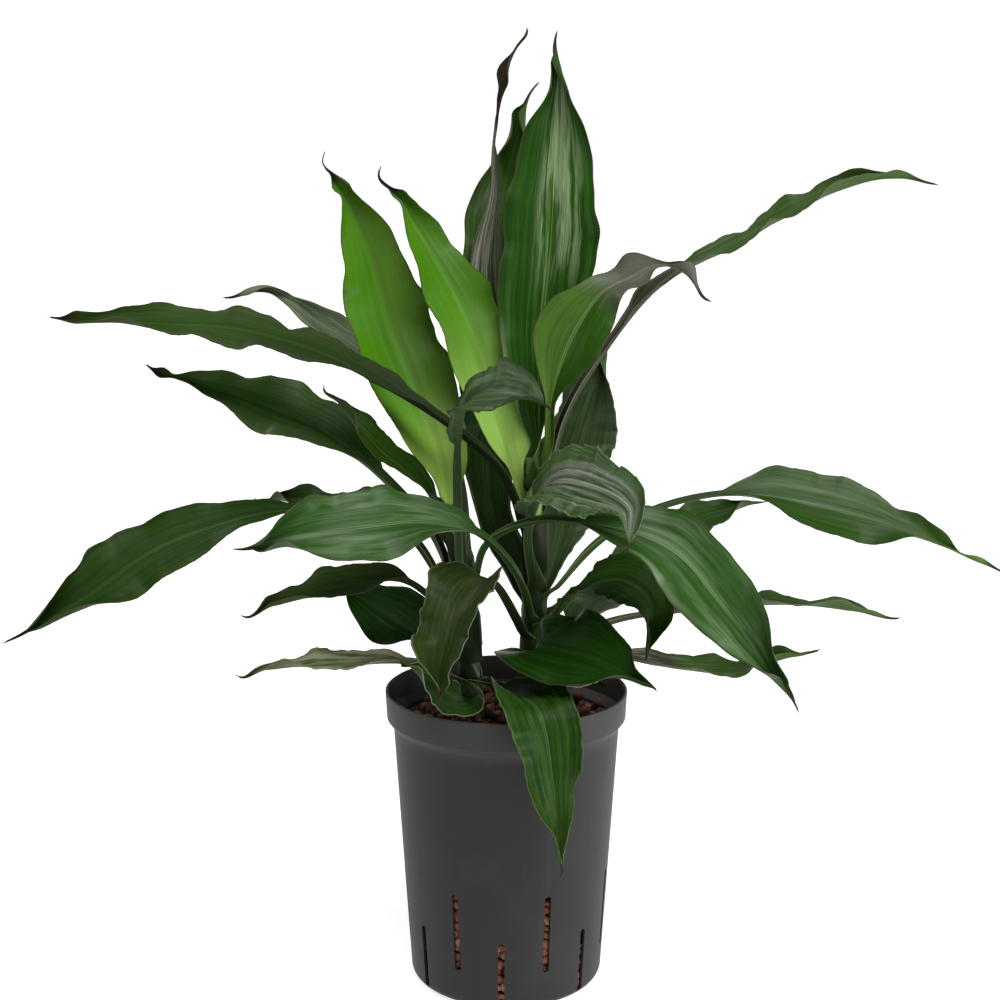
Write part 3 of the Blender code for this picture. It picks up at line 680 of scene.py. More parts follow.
class Route:
    """A smooth line through given points, read at shares of its length."""

    SAMPLES = 160
    BETWEEN = 40

    def __init__(self, points: Sequence[Point]) -> None:
        """Draw the line and space its samples evenly.

        Args:
            points: The points that it passes through.
        """
        pts = np.array(points, float)
        pts = np.vstack([2 * pts[0] - pts[1], pts, 2 * pts[-1] - pts[-2]])
        knots = np.concatenate([[0], np.cumsum(np.linalg.norm(np.diff(pts, axis=0), axis=1) ** 0.5)])
        curve = [self._point(pts[i - 1:i + 3], knots[i - 1:i + 3], k)
                 for i in range(1, len(pts) - 2)
                 for k in np.linspace(knots[i], knots[i + 1], self.BETWEEN, endpoint=False)]
        curve = np.array(curve + [pts[-2]])
        run = np.concatenate([[0], np.cumsum(np.linalg.norm(np.diff(curve, axis=0), axis=1))])
        self.length = float(run[-1])
        self.shares = np.linspace(0, 1, self.SAMPLES + 1)
        self.line = np.stack([np.interp(self.shares * run[-1], run, curve[:, axis])
                              for axis in range(3)], 1)
        self.slope = np.gradient(self.line, axis=0)

    @staticmethod
    def _point(points: np.ndarray, knots: np.ndarray, at: float) -> np.ndarray:
        """Give a point between the middle two of four points.

        Args:
            points: The four points.
            knots: The knots of the four points.
            at: The knot of the point that is wanted.

        Returns:
            The point.
        """
        row = points
        for width in (1, 2, 3):
            low = knots[:-width] if width < 3 else knots[1:2]
            high = knots[width:] if width < 3 else knots[2:3]
            part = ((at - low) / (high - low))[:, None]
            row = row[:-1] * (1 - part) + row[1:] * part
        return row[0]

    def at(self, share: np.ndarray) -> np.ndarray:
        """Give the points at shares of the length."""
        return np.stack([np.interp(share, self.shares, self.line[:, a]) for a in range(3)], 1)

    def along(self, share: np.ndarray) -> np.ndarray:
        """Give the unit directions at shares of the length."""
        slopes = [np.interp(share, self.shares, self.slope[:, a]) for a in range(3)]
        return unit(np.stack(slopes, 1))

    def level(self, height: np.ndarray) -> np.ndarray:
        """Give the points of a rising line at heights, past its ends straight up or down.

        Args:
            height: The heights.

        Returns:
            The points.
        """
        height = np.asarray(height, float)
        x, y = (np.interp(height, self.line[:, 2], self.line[:, axis]) for axis in range(2))
        return np.stack([x, y, height], -1)


@dataclass(frozen=True)
class Cane:
    """One upright cane: its route, its radius at the route's points and its knobbly rings."""

    node: str
    points: tuple[Point, ...]
    radii: tuple[float, ...] = (6.0, 6.0, 6.0, 5.6, 3.6)
    sides: int = 28
    rings: int = 120
    ring_pitch: float = 6.5
    ring_depth: float = 0.28
    ring_dip: float = 0.2
    ring_wander: float = 0.9
    ring_drift: float = 0.05
    finish: CaneFinish = CaneFinish()

    SHARP_DEG = 60

    @property
    def route(self) -> Route:
        """Give the cane's axis."""
        return Route(self.points)

    def radius(self, height: np.ndarray) -> np.ndarray:
        """Give the radius at a height."""
        return np.interp(height, [point[2] for point in self.points], self.radii)

    def build(self) -> bpy.types.Object:
        """Build the cane as a round bar that follows its route, ringed with leaf scars.

        Returns:
            The piece.
        """
        bm = bmesh.new()
        bmesh.ops.create_cone(bm, cap_ends=True, segments=self.sides, radius1=1, radius2=1, depth=1)
        upright = [edge for edge in bm.edges if abs(edge.verts[0].co.z - edge.verts[1].co.z) > 0.5]
        bmesh.ops.subdivide_edges(bm, edges=upright, cuts=self.rings, use_grid_fill=True)
        low, high = self.points[0][2], self.points[-1][2]
        route = self.route
        for vert in bm.verts:
            height = low + (vert.co.z + 0.5) * (high - low)
            angle = math.atan2(vert.co.y, vert.co.x)
            drift = self.ring_wander * math.sin(angle + height * self.ring_drift)
            phase = math.tau * height / self.ring_pitch + drift
            ring = self.ring_depth * max(math.sin(phase), -self.ring_dip)
            out = float(self.radius(height)) - self.ring_depth + ring
            axis = Vector(route.level(height))
            vert.co = axis + Vector((math.cos(angle), math.sin(angle), 0)) * out
        piece = finished(self.node + "_bark", bm, self.finish.make(self.node + "_bark"))
        piece.data.set_sharp_from_angle(angle=math.radians(self.SHARP_DEG))
        stand_for(piece, self.node)
        return piece


CANES = {
    "left": Cane("cane_left", ((-18, -7, 70), (-21, -6, 170), (-24, -5, 230), (-29, -1, 280),
                               (-31, 1, 300))),
    "right": Cane("cane_right", ((14, 6, 70), (16, 5, 170), (18, 4, 230), (17, 5, 280),
                                 (15, 7, 328))),
}


@dataclass(frozen=True)
class Leaf:
    """One leaf: where it starts on its cane, its midrib's route, its blade's shape and its finish.

    Height and side, a compass angle, say where on the cane it starts, and width is the blade's
    widest. Heading and roll are angles at even stations along it. Neck and peak are shares of its
    length: where the stalk ends, and where the blade past it is widest. Fold is the blade's,
    ripple its margins' wave, tip how slowly it narrows to its end, and stalk the stalk's width.
    Twist, cup and kink turn, roll up and bend that end, pleat and crinkle fold the blade, and
    knots widen it: each says where, over how great a share, and by how much.
    """

    node: str
    cane: str
    height: float
    side: float
    points: tuple[Point, ...]
    width: float
    heading: tuple[float, ...]
    roll: tuple[float, ...]
    neck: float = 0.28
    peak: float = 0.42
    fold: float = 14.0
    ripple: float = 2.5
    tip: float = 1.15
    tone: Tone = Tone.GREEN
    stalk: float = 8.5
    look: Look | None = None
    twist: float = 90.0
    pleat: float = 0.35
    crinkle: float = 0.2
    kink: float = 2.0
    cup: float = 75.0
    knots: tuple[Point, ...] = ((0.93, 0.02, 1.5),)
    phase: float = 0.0

    MAP = "leaf_run"
    CLEARANCE = 1.9
    SHEATH_WIDTH = 11.0
    STALK_FADE = 1.5
    THREAD_WIDTH = 2.2
    TIP_THREAD = 0.05
    CLASP_SHARE = 0.12
    CLASP_TURN = 0.2
    CLASP_FOLD = 16.0
    PETIOLE_FOLD = 50.0
    RIB_FOLD = 0.55
    OPENING_START = 0.6
    OPENING_LENGTH = 0.3
    WAVE_LENGTH = 50.0
    WAVE_LAG = 2.2
    WAVE_FADE = 0.7
    UNEVEN, UNEVEN_RATE, UNEVEN_SHIFT = 0.4, 0.43, 5.0
    SMALL_WAVE, SMALL_RATE, SMALL_LAG = 0.3, 2.3, 3.0
    EDGE_WOBBLE = 0.45
    PLEATS = 4.0
    PLEATED_FROM = 15
    GROOVE_WIDTH, GROOVE_DEPTH = 0.06, 0.5
    RUFFLE_RATES = (5.3, 8.9)
    RUFFLED_FROM = 10
    TWIST_FROM, TWIST_OVER = 0.86, 0.14
    CUP_FROM, CUP_OVER = 0.72, 0.2
    KINK_FROM, KINK_OVER, KINK_LIFT = 0.84, 0.16, 0.7
    SHEATH_LENGTH = 22.0
    SHEATH_GAP = 0.4
    SHEATH_STEP = 0.5
    SHEATH_DIP = 3.0
    SHEATH_TOP = 8
    WRAP_RUN = (-22, -8, 0, 12)
    WRAP_DEG = (172, 150, 112, 62)
    LIFT_OFF = 0.1
    FREE_FROM, FREE_OVER = 2, 14
    THICKNESS = 0.55
    SHARP_DEG = 50
    LEAST_ROWS = 30
    COLUMNS = 22
    COLUMN_CROWD = 1.25
    ROW_PITCH = 2.3

    @property
    def route(self) -> Route:
        """Give the midrib, from just clear of the cane to the tip.

        Returns:
            The route.
        """
        cane = CANES[self.cane]
        side = math.radians(self.side)
        reach = float(cane.radius(self.height)) + self.CLEARANCE
        axis = cane.route.level(self.height)
        start = axis + reach * np.array([math.cos(side), math.sin(side), 0])
        return Route((tuple(start),) + self.points)

    def half_width(self, share: np.ndarray) -> np.ndarray:
        """Give half the blade's width: a narrow base, a lance-shaped blade and a pointed tip.

        Args:
            share: Shares of the midrib's length.

        Returns:
            Half the width there.
        """
        s = np.clip((share - self.neck) / (1 - self.TIP_THREAD - self.neck), 0, 1)
        rise = self.tip * self.peak / (1 - self.peak)
        blade = (s / self.peak) ** rise * ((1 - s) / (1 - self.peak)) ** self.tip
        to_stalk = np.clip(share / self.neck, 0, 1)
        stalk = self.SHEATH_WIDTH + (self.stalk - self.SHEATH_WIDTH) * to_stalk
        end = self.THREAD_WIDTH * np.clip((1 - share) / self.TIP_THREAD, 0, 1)
        whole = (self.width - self.stalk) * blade + stalk * (1 - s ** self.STALK_FADE)
        swelling = sum(by * np.exp(-((share - at) / over) ** 2) for at, over, by in self.knots)
        return (np.maximum(whole, end) + swelling) / 2

    def directions(self, route: Route, share: np.ndarray) -> tuple[np.ndarray, np.ndarray]:
        """Give the directions right and up across the blade.

        Args:
            route: The midrib.
            share: Shares of its length.

        Returns:
            The unit directions.
        """
        tangent = route.along(share)
        lean = at_stations(self.heading, share)
        to_side = (self.side - lean + 180) % 360 - 180
        heading = np.radians(lean + to_side * (1 - smooth_step(share / self.CLASP_TURN)))
        level = np.stack([np.sin(heading), -np.cos(heading), np.zeros_like(heading)], 1)
        level = unit(level - tangent * np.sum(level * tangent, axis=1, keepdims=True))
        face = np.cross(level, tangent)
        turn = self.twist * smooth_step((share - self.TWIST_FROM) / self.TWIST_OVER)
        roll = np.radians(at_stations(self.roll, share) + turn)[:, None]
        right = level * np.cos(roll) + face * np.sin(roll)
        up = face * np.cos(roll) - level * np.sin(roll)
        return right, up

    def fold_angle(self, share: np.ndarray) -> np.ndarray:
        """Give how far each half is folded up: a channel that opens into the blade.

        Args:
            share: Shares of the midrib's length.

        Returns:
            The angles in radians.
        """
        opening = self.OPENING_LENGTH + self.neck * (1 - self.OPENING_START)
        blade = smooth_step((share - self.neck * self.OPENING_START) / opening)
        clasp = np.clip(share / self.CLASP_SHARE, 0, 1)
        stalk = self.CLASP_FOLD + (self.PETIOLE_FOLD - self.CLASP_FOLD) * clasp
        return np.radians(stalk + (self.fold - stalk) * blade)

    def section(self, share: np.ndarray, u: np.ndarray, length: float) -> tuple[np.ndarray, np.ndarray]:
        """Give the cross-section: how far right and how far up each point lies.

        Args:
            share: Shares of the midrib's length.
            u: Places across, from -1 at the left margin to 1 at the right one.
            length: The midrib's length.

        Returns:
            Distances right and up.
        """
        half = self.half_width(share)
        past_neck = np.clip((share - self.neck) / (1 - self.neck), 0, 1)
        swell = np.sin(math.pi * past_neck) ** self.WAVE_FADE
        bend = self.fold_angle(share) * (self.RIB_FOLD + (1 - self.RIB_FOLD) * np.abs(u))
        lag = np.where(u < 0, 0.0, self.WAVE_LAG)
        phase = math.tau * (length / self.WAVE_LENGTH * share + self.phase) + lag
        uneven = 1 + self.UNEVEN * np.sin(self.UNEVEN_RATE * phase + self.UNEVEN_SHIFT * self.phase)
        small = self.SMALL_WAVE * np.sin(self.SMALL_RATE * phase + self.SMALL_LAG * lag)
        wave = self.ripple * u * np.abs(u) * swell * uneven
        right = u * half * np.cos(bend) + self.EDGE_WOBBLE * wave * (np.cos(phase) + small)
        up = np.abs(u) * half * np.sin(bend) + np.abs(wave) * (np.sin(phase) + small)
        pleats = np.cos(math.tau * self.PLEATS * np.abs(u)) * (1 - np.abs(u) ** 3)
        groove = np.exp(-(u / self.GROOVE_WIDTH) ** 2)
        folds = self.pleat * pleats - self.GROOVE_DEPTH * groove
        up = up + folds * np.clip(half / self.PLEATED_FROM, 0, 1) * (1 - share ** 6)
        slow, fast = self.RUFFLE_RATES
        ruffle = np.sin(slow * phase) + 0.7 * np.sin(fast * phase + 2.0 * u)
        crinkle = self.crinkle * u ** 2 * swell * ruffle
        up = up + crinkle * np.clip(half / self.RUFFLED_FROM, 0, 1)
        closing = smooth_step((share - self.CUP_FROM) / self.CUP_OVER)
        cup = np.radians(self.cup) * closing * np.abs(u)
        right, up = right * np.cos(cup), up + np.abs(right) * np.sin(cup)
        end = np.clip((share - self.KINK_FROM) / self.KINK_OVER, 0, 1)
        right = right + self.kink * end * np.sin(math.tau * end)
        return right, up + self.KINK_LIFT * self.kink * end * np.sin(3 * math.pi * end)

    def clasp(self, share: np.ndarray, u: np.ndarray, length: float, layer: int) -> np.ndarray:
        """Give the points of the foot that wraps the cane.

        Args:
            share: Shares of the midrib's length, below 0 on the sheath.
            u: Places across.
            length: The midrib's length.
            layer: How many other sheaths it lies over.

        Returns:
            The points.
        """
        cane = CANES[self.cane]
        run = share * length
        around = np.radians(np.interp(run, self.WRAP_RUN, self.WRAP_DEG))
        dip = self.SHEATH_DIP * np.abs(u) ** 2 * (run > -20)
        height = self.height + np.minimum(run, self.SHEATH_TOP) - dip
        angle = math.radians(self.side) - u * around
        gap = cane.radius(height) + self.SHEATH_GAP + self.SHEATH_STEP * layer
        reach = gap + self.LIFT_OFF * np.maximum(run, 0)
        out = np.stack([np.cos(angle), np.sin(angle), np.zeros_like(angle)], 1)
        return cane.route.level(height) + out * reach[:, None]

    def place(self, share: np.ndarray, u: np.ndarray, layer: int) -> np.ndarray:
        """Give points of the leaf.

        Args:
            share: Shares of the midrib's length, below 0 on the sheath.
            u: Places across.
            layer: How many other sheaths its foot lies over.

        Returns:
            The points.
        """
        route = self.route
        inside = np.clip(share, 0, 1)
        right, up = self.directions(route, inside)
        x, y = self.section(inside, u, route.length)
        blade = route.at(inside) + right * x[:, None] + up * y[:, None]
        free = smooth_step((share * route.length + self.FREE_FROM) / self.FREE_OVER)[:, None]
        return self.clasp(share, u, route.length, layer) * (1 - free) + blade * free

    def build(self, layer: int, seed: float) -> bpy.types.Object:
        """Build the leaf from a grid that is laid along its midrib and given a thickness.

        Args:
            layer: How many other sheaths its foot lies over.
            seed: Shifts the finish's patterns.

        Returns:
            The piece.
        """
        length = self.route.length
        sheath = self.SHEATH_LENGTH / length
        rows = max(self.LEAST_ROWS, round(length * (1 + sheath) / self.ROW_PITCH))
        bm = bmesh.new()
        run = bm.loops.layers.uv.new(self.MAP)
        bmesh.ops.create_grid(bm, x_segments=self.COLUMNS, y_segments=rows, size=1)
        for face in bm.faces:
            for loop in face.loops:
                loop[run].uv = (loop.vert.co.x / 2 + 0.5, loop.vert.co.y / 2 + 0.5)
        spread = np.array([vert.co.x for vert in bm.verts])
        u = np.sign(spread) * np.abs(spread) ** self.COLUMN_CROWD
        share = np.array([vert.co.y / 2 + 0.5 for vert in bm.verts]) * (1 + sheath) - sheath
        for vert, point in zip(bm.verts, self.place(share, u, layer)):
            vert.co = point
        bmesh.ops.remove_doubles(bm, verts=bm.verts, dist=0.001)
        finish = (self.look or DEFAULT_LOOKS[self.tone]).value
        piece = finished(self.node + "_blade", bm, finish.skin(self.node + "_upper", seed, False),
                         finish.skin(self.node + "_under", seed, True))
        solid = piece.modifiers.new("Thickness", "SOLIDIFY")
        solid.thickness = self.THICKNESS * MM
        solid.offset = -1.0
        solid.material_offset = 1
        settle(piece, self.SHARP_DEG)
        stand_for(piece, self.node)
        return piece


LEAVES = (
    Leaf("leaf_left_top", "right", 280, -135,
         ((-5, -6, 321), (-31, -10, 346), (-65, -10, 369), (-110, 2, 392), (-165, 18, 406),
          (-220, 22, 409), (-277, 16, 413)),
         width=40, heading=(180,), roll=(0, 15, 32, 32), peak=0.58, fold=5, tip=0.75, tone=Tone.DARK,
         stalk=12.0, look=Look.OLIVE, phase=0.2, twist=30, cup=50, knots=((0.955, 0.018, 8),)),
    Leaf("leaf_left_upper", "left", 250, 160,
         ((-47, 6, 280), (-75, 12, 312), (-112, 24, 342), (-157, 36, 360), (-200, 40, 372),
          (-225, 40, 382)),
         width=50, heading=(175,), roll=(0, 20, 42, 50), neck=0.34, peak=0.42, fold=6, tip=1.35,
         tone=Tone.DARK, stalk=11.5, look=Look.MOSS, phase=0.55, twist=30, cup=50,
         knots=((0.955, 0.018, 8),)),
    Leaf("leaf_left_long", "left", 238, 176,
         ((-65, -7, 286), (-108, 6, 295), (-146, 8, 294), (-180, 4, 286), (-217, -6, 272),
          (-256, -22, 246), (-299, -40, 224)),
         width=47, heading=(180, 190), roll=(0, 30, 55, 60), neck=0.4, peak=0.6, fold=4, tip=0.8,
         kink=0.8, twist=40),
    Leaf("leaf_left_back", "left", 271, 98,
         ((-58, 38, 284), (-116, 80, 286), (-171, 110, 285)),
         width=36, heading=(145,), roll=(0, 20, 20), tone=Tone.DARK),
    Leaf("leaf_left_twisted", "left", 280, 60,
         ((-30, 24, 308), (-44, 48, 343), (-69, 75, 372), (-116, 95, 403), (-160, 98, 427),
          (-186, 95, 421)),
         width=25, heading=(140, 180), roll=(0, 20, 60, 110), ripple=3.5, tone=Tone.GREY, look=Look.SAGE,
         kink=2.5, knots=((0.9, 0.03, 6),)),
    Leaf("leaf_left_broad", "right", 226, -125,
         ((5, -28, 262), (-18, -46, 291), (-47, -55, 300), (-78, -68, 300), (-116, -78, 296),
          (-154, -80, 289)),
         width=50, heading=(190,), roll=(0, 20, 50, 60), neck=0.38, peak=0.55, fold=5, tip=0.75,
         look=Look.PAINTED_SHEEN, kink=1.0),
    Leaf("leaf_left_bright", "left", 290, 130,
         ((-42, 10, 329), (-57, 22, 368), (-73, 34, 407), (-85, 42, 450), (-98, 40, 483), (-110, 30, 512)),
         width=58, heading=(110,), roll=(0, 0, 0), neck=0.02, peak=0.48, tip=1.0, tone=Tone.BRIGHT,
         look=Look.BRIGHT, kink=4.5, twist=60, cup=60, knots=((0.91, 0.016, 9),)),
    Leaf("leaf_centre_bright", "right", 296, 130,
         ((-3, 18, 350), (-18, 27, 395), (-35, 36, 431), (-57, 46, 468), (-78, 52, 504)),
         width=51, heading=(125, 116, 110), roll=(0, 0, 0), neck=0.02, peak=0.45, tip=1.0,
         tone=Tone.BRIGHT, look=Look.PALE_FOOT, kink=4.5, twist=60, cup=60, knots=((0.91, 0.016, 7),)),
    Leaf("leaf_centre_bowed", "left", 236, -100,
         ((-27, -20, 307), (-27, -27, 345), (-22, -34, 367), (-5, -52, 374), (12, -70, 374),
          (26, -82, 366)),
         width=44, heading=(-90, -40, -30), roll=(0, 0, -20, -42, -42), neck=0.52, peak=0.5, fold=12,
         tip=0.7, tone=Tone.DARK, look=Look.BOWED, crinkle=0.8, cup=15),
    Leaf("leaf_top_tall", "right", 331, 30,
         ((21, 28, 398), (26, 34, 452), (29, 38, 507), (31, 32, 555), (30, 26, 582)),
         width=62, heading=(90,), roll=(0, 0, 0), neck=0.02, peak=0.5, tip=0.85, fold=10, tone=Tone.DARK,
         look=Look.GLOSSY, pleat=0.6, kink=1.5, knots=((0.93, 0.02, 3),)),
    Leaf("leaf_top_back", "right", 236, 152,
         ((-4, 20, 270), (-12, 34, 320), (-8, 46, 372), (-6, 58, 428), (-2, 70, 484), (10, 78, 533),
          (21, 78, 557)),
         width=54, heading=(100,), roll=(0, 0, 0), neck=0.02, peak=0.64, tip=0.7, tone=Tone.DARK,
         look=Look.MOSS, kink=2.5, knots=((0.06, 0.08, 20), (0.93, 0.02, 4))),
    Leaf("leaf_top_spear", "right", 268, 100,
         ((17, 27, 310), (8, 32, 350), (-4, 41, 392), (-13, 50, 437), (-7, 52, 489), (-7, 46, 520),
          (-1, 28, 560), (12, 10, 582)),
         width=23, heading=(100,), roll=(0, 0, 0), neck=0.3, peak=0.32, tip=6.5, fold=12, ripple=1.0,
         tone=Tone.GREY, stalk=3.5, look=Look.SILVER, pleat=1.0, kink=4.0, twist=200, cup=40,
         knots=((0.9, 0.024, 7),)),
    Leaf("leaf_centre_curled", "right", 306, -50,
         ((26, -4, 330), (27, -6, 365), (36, -5, 396), (46, -5, 415), (57, -4, 429), (72, 0, 437),
          (90, 4, 445), (106, 4, 440), (123, 2, 423)),
         width=47, heading=(85, 70, 30), roll=(0, 0, -5, -44, -40), neck=0.26, peak=0.32, tip=4.6,
         tone=Tone.BRIGHT, stalk=7.0, look=Look.CURLED, twist=150,
         knots=((0.74, 0.05, 13), (0.88, 0.035, 10))),
    Leaf("leaf_right_top", "right", 290, 20,
         ((37, 24, 349), (62, 40, 390), (97, 52, 431), (141, 60, 455), (203, 62, 488), (246, 60, 498),
          (269, 56, 493)),
         width=28, heading=(20, 0), roll=(0, -8, -14, -24), neck=0.35, peak=0.6, fold=14, tone=Tone.DARK,
         stalk=9.0, look=Look.UMBER, pleat=0.9, knots=((0.42, 0.05, 5), (0.93, 0.02, 3))),
    Leaf("leaf_right_upright", "right", 224, 98,
         ((34, 34, 271), (42, 52, 307), (55, 72, 350), (65, 88, 382), (68, 92, 397)),
         width=58, heading=(60,), roll=(0, 0, 0), neck=0.1, peak=0.5, tip=0.9, tone=Tone.GREY,
         look=Look.SLATE, crinkle=0.9),
    Leaf("leaf_right_folded", "right", 246, -75,
         ((15, -24, 290), (25, -44, 320), (46, -68, 323), (67, -92, 314), (64, -113, 294)),
         width=48, heading=(-50, -45), roll=(0, -12, -42, -48, -40), neck=0.33, peak=0.38, fold=10,
         tip=0.85, tone=Tone.GREY, look=Look.FOLDED, pleat=1.0, crinkle=1.6, cup=30),
    Leaf("leaf_right_broad", "left", 250, -12,
         ((-10, -23, 280), (19, -42, 297), (56, -62, 299), (92, -74, 289), (124, -84, 254),
          (165, -90, 197)),
         width=47, heading=(-20, -30), roll=(0, -25, -58, -62), neck=0.36, peak=0.5, fold=6, tip=0.85,
         look=Look.PAINTED_SHEEN, kink=1.5),
    Leaf("leaf_right_long", "right", 240, -20,
         ((60, 4, 277), (97, 6, 297), (144, 4, 306), (197, 0, 298), (251, -8, 283), (301, -20, 261)),
         width=50, heading=(0,), roll=(0, -10, -46, -50), neck=0.42, peak=0.36, fold=6, tip=2.1,
         tone=Tone.DARK, stalk=7.0, look=Look.STREAKED),
    Leaf("leaf_right_back", "right", 228, 10,
         ((77, 50, 254), (116, 90, 267), (155, 125, 274), (184, 145, 277)),
         width=40, heading=(42,), roll=(0, -20, -20), tone=Tone.DARK, kink=-1.5, knots=()),
    Leaf("leaf_right_drooping", "right", 222, -50,
         ((50, -24, 255), (70, -38, 261), (84, -50, 250), (80, -62, 218)),
         width=42, heading=(-35, -50), roll=(0, -25, -30, -15), neck=0.12, peak=0.5, crinkle=0.8),
    Leaf("leaf_right_low", "right", 203, 10,
         ((66, 24, 219), (111, 36, 224), (184, 50, 226), (259, 60, 214)),
         width=34, heading=(10,), roll=(0, 5, 5), look=Look.UMBER),
    Leaf("leaf_right_lowest", "right", 192, 30,
         ((62, 12, 201), (96, 19, 194), (140, 25, 189), (201, 30, 201)),
         width=32, heading=(5,), roll=(0, -6, -6), tone=Tone.DARK, look=Look.UMBER),
    Leaf("leaf_front_right", "right", 204, -85,
         ((18, -30, 218), (48, -63, 222), (84, -95, 211)),
         width=63, heading=(-45,), roll=(0, -35, -38), neck=0.1, peak=0.36, fold=8, tone=Tone.DARK,
         look=Look.DEEP),
    Leaf("leaf_front_hanging", "left", 192, -60,
         ((-3, -34, 194), (10, -62, 197), (19, -84, 194), (26, -93, 156), (31, -94, 100)),
         width=46, heading=(-75,), roll=(0, 0, 0), neck=0.15, peak=0.35, look=Look.CRIMPED, pleat=0.5,
         crinkle=0.9),
    Leaf("leaf_front_wavy", "right", 214, -140,
         ((-12, -45, 263), (-27, -74, 259), (-35, -93, 238), (-40, -98, 205)),
         width=46, heading=(-125, -110), roll=(0, 0, 0), neck=0.44, peak=0.3, ripple=4.0, tip=0.8,
         tone=Tone.DARK, stalk=7.0, look=Look.DUSKY, crinkle=1.2, cup=40),
    Leaf("leaf_front_small", "left", 180, -100,
         ((-30, -34, 188), (-42, -44, 200), (-62, -52, 217)),
         width=41, heading=(-150,), roll=(0, 45, 50), neck=0.1, look=Look.EDGED, crinkle=0.8),
    Leaf("leaf_left_low", "left", 190, -150,
         ((-52, -22, 205), (-93, -44, 213), (-126, -58, 215), (-157, -64, 211)),
         width=27, heading=(-160,), roll=(0, 10, 10), look=Look.BROWNED, crinkle=0.4),
    Leaf("leaf_left_lower", "left", 226, -150,
         ((-61, -20, 256), (-97, -46, 260), (-152, -70, 248)),
         width=36, heading=(-155,), roll=(0, 15, 15), tone=Tone.DARK, look=Look.OLIVE),
    Leaf("leaf_left_hidden", "left", 208, 170,
         ((-52, 4, 215), (-76, 14, 229), (-110, 34, 244)),
         width=46, heading=(165,), roll=(0, 45, 45), neck=0.18, peak=0.36, tone=Tone.DARK, look=Look.DEEP),
    Leaf("leaf_left_young", "left", 280, -170,
         ((-48, -14, 311), (-76, -34, 341), (-104, -56, 379)),
         width=33, heading=(-150,), roll=(0, 40, 50), neck=0.12, peak=0.45),
    Leaf("leaf_rim_small", "right", 179, -20,
         ((36, 4, 184), (50, 14, 184), (64, 22, 180)),
         width=20, heading=(20,), roll=(0, 0, 0), neck=0.1, ripple=1.0, look=Look.EDGED),
    Leaf("leaf_back_low", "right", 198, 60,
         ((48, 42, 214), (63, 80, 221), (76, 118, 215)),
         width=40, heading=(60,), roll=(0, 0, 0), tone=Tone.DARK),
)


@dataclass(frozen=True)
class Plant:
    """The canes and all their leaves."""

    canes: dict[str, Cane]
    leaves: tuple[Leaf, ...]

    SEED_STEP = 1.7

    def layer(self, leaf: Leaf) -> int:
        """Count the sheaths that a leaf's own sheath wraps: those of the leaves just above it."""
        return sum(other.cane == leaf.cane and 0 < other.height - leaf.height < Leaf.SHEATH_LENGTH
                   for other in self.leaves)

    def build(self) -> Iterator[bpy.types.Object]:
        """Build every cane and leaf, one after the other.

        Returns:
            The pieces.
        """
        for cane in self.canes.values():
            yield cane.build()
        for number, leaf in enumerate(self.leaves):
            yield leaf.build(self.layer(leaf), number * self.SEED_STEP)


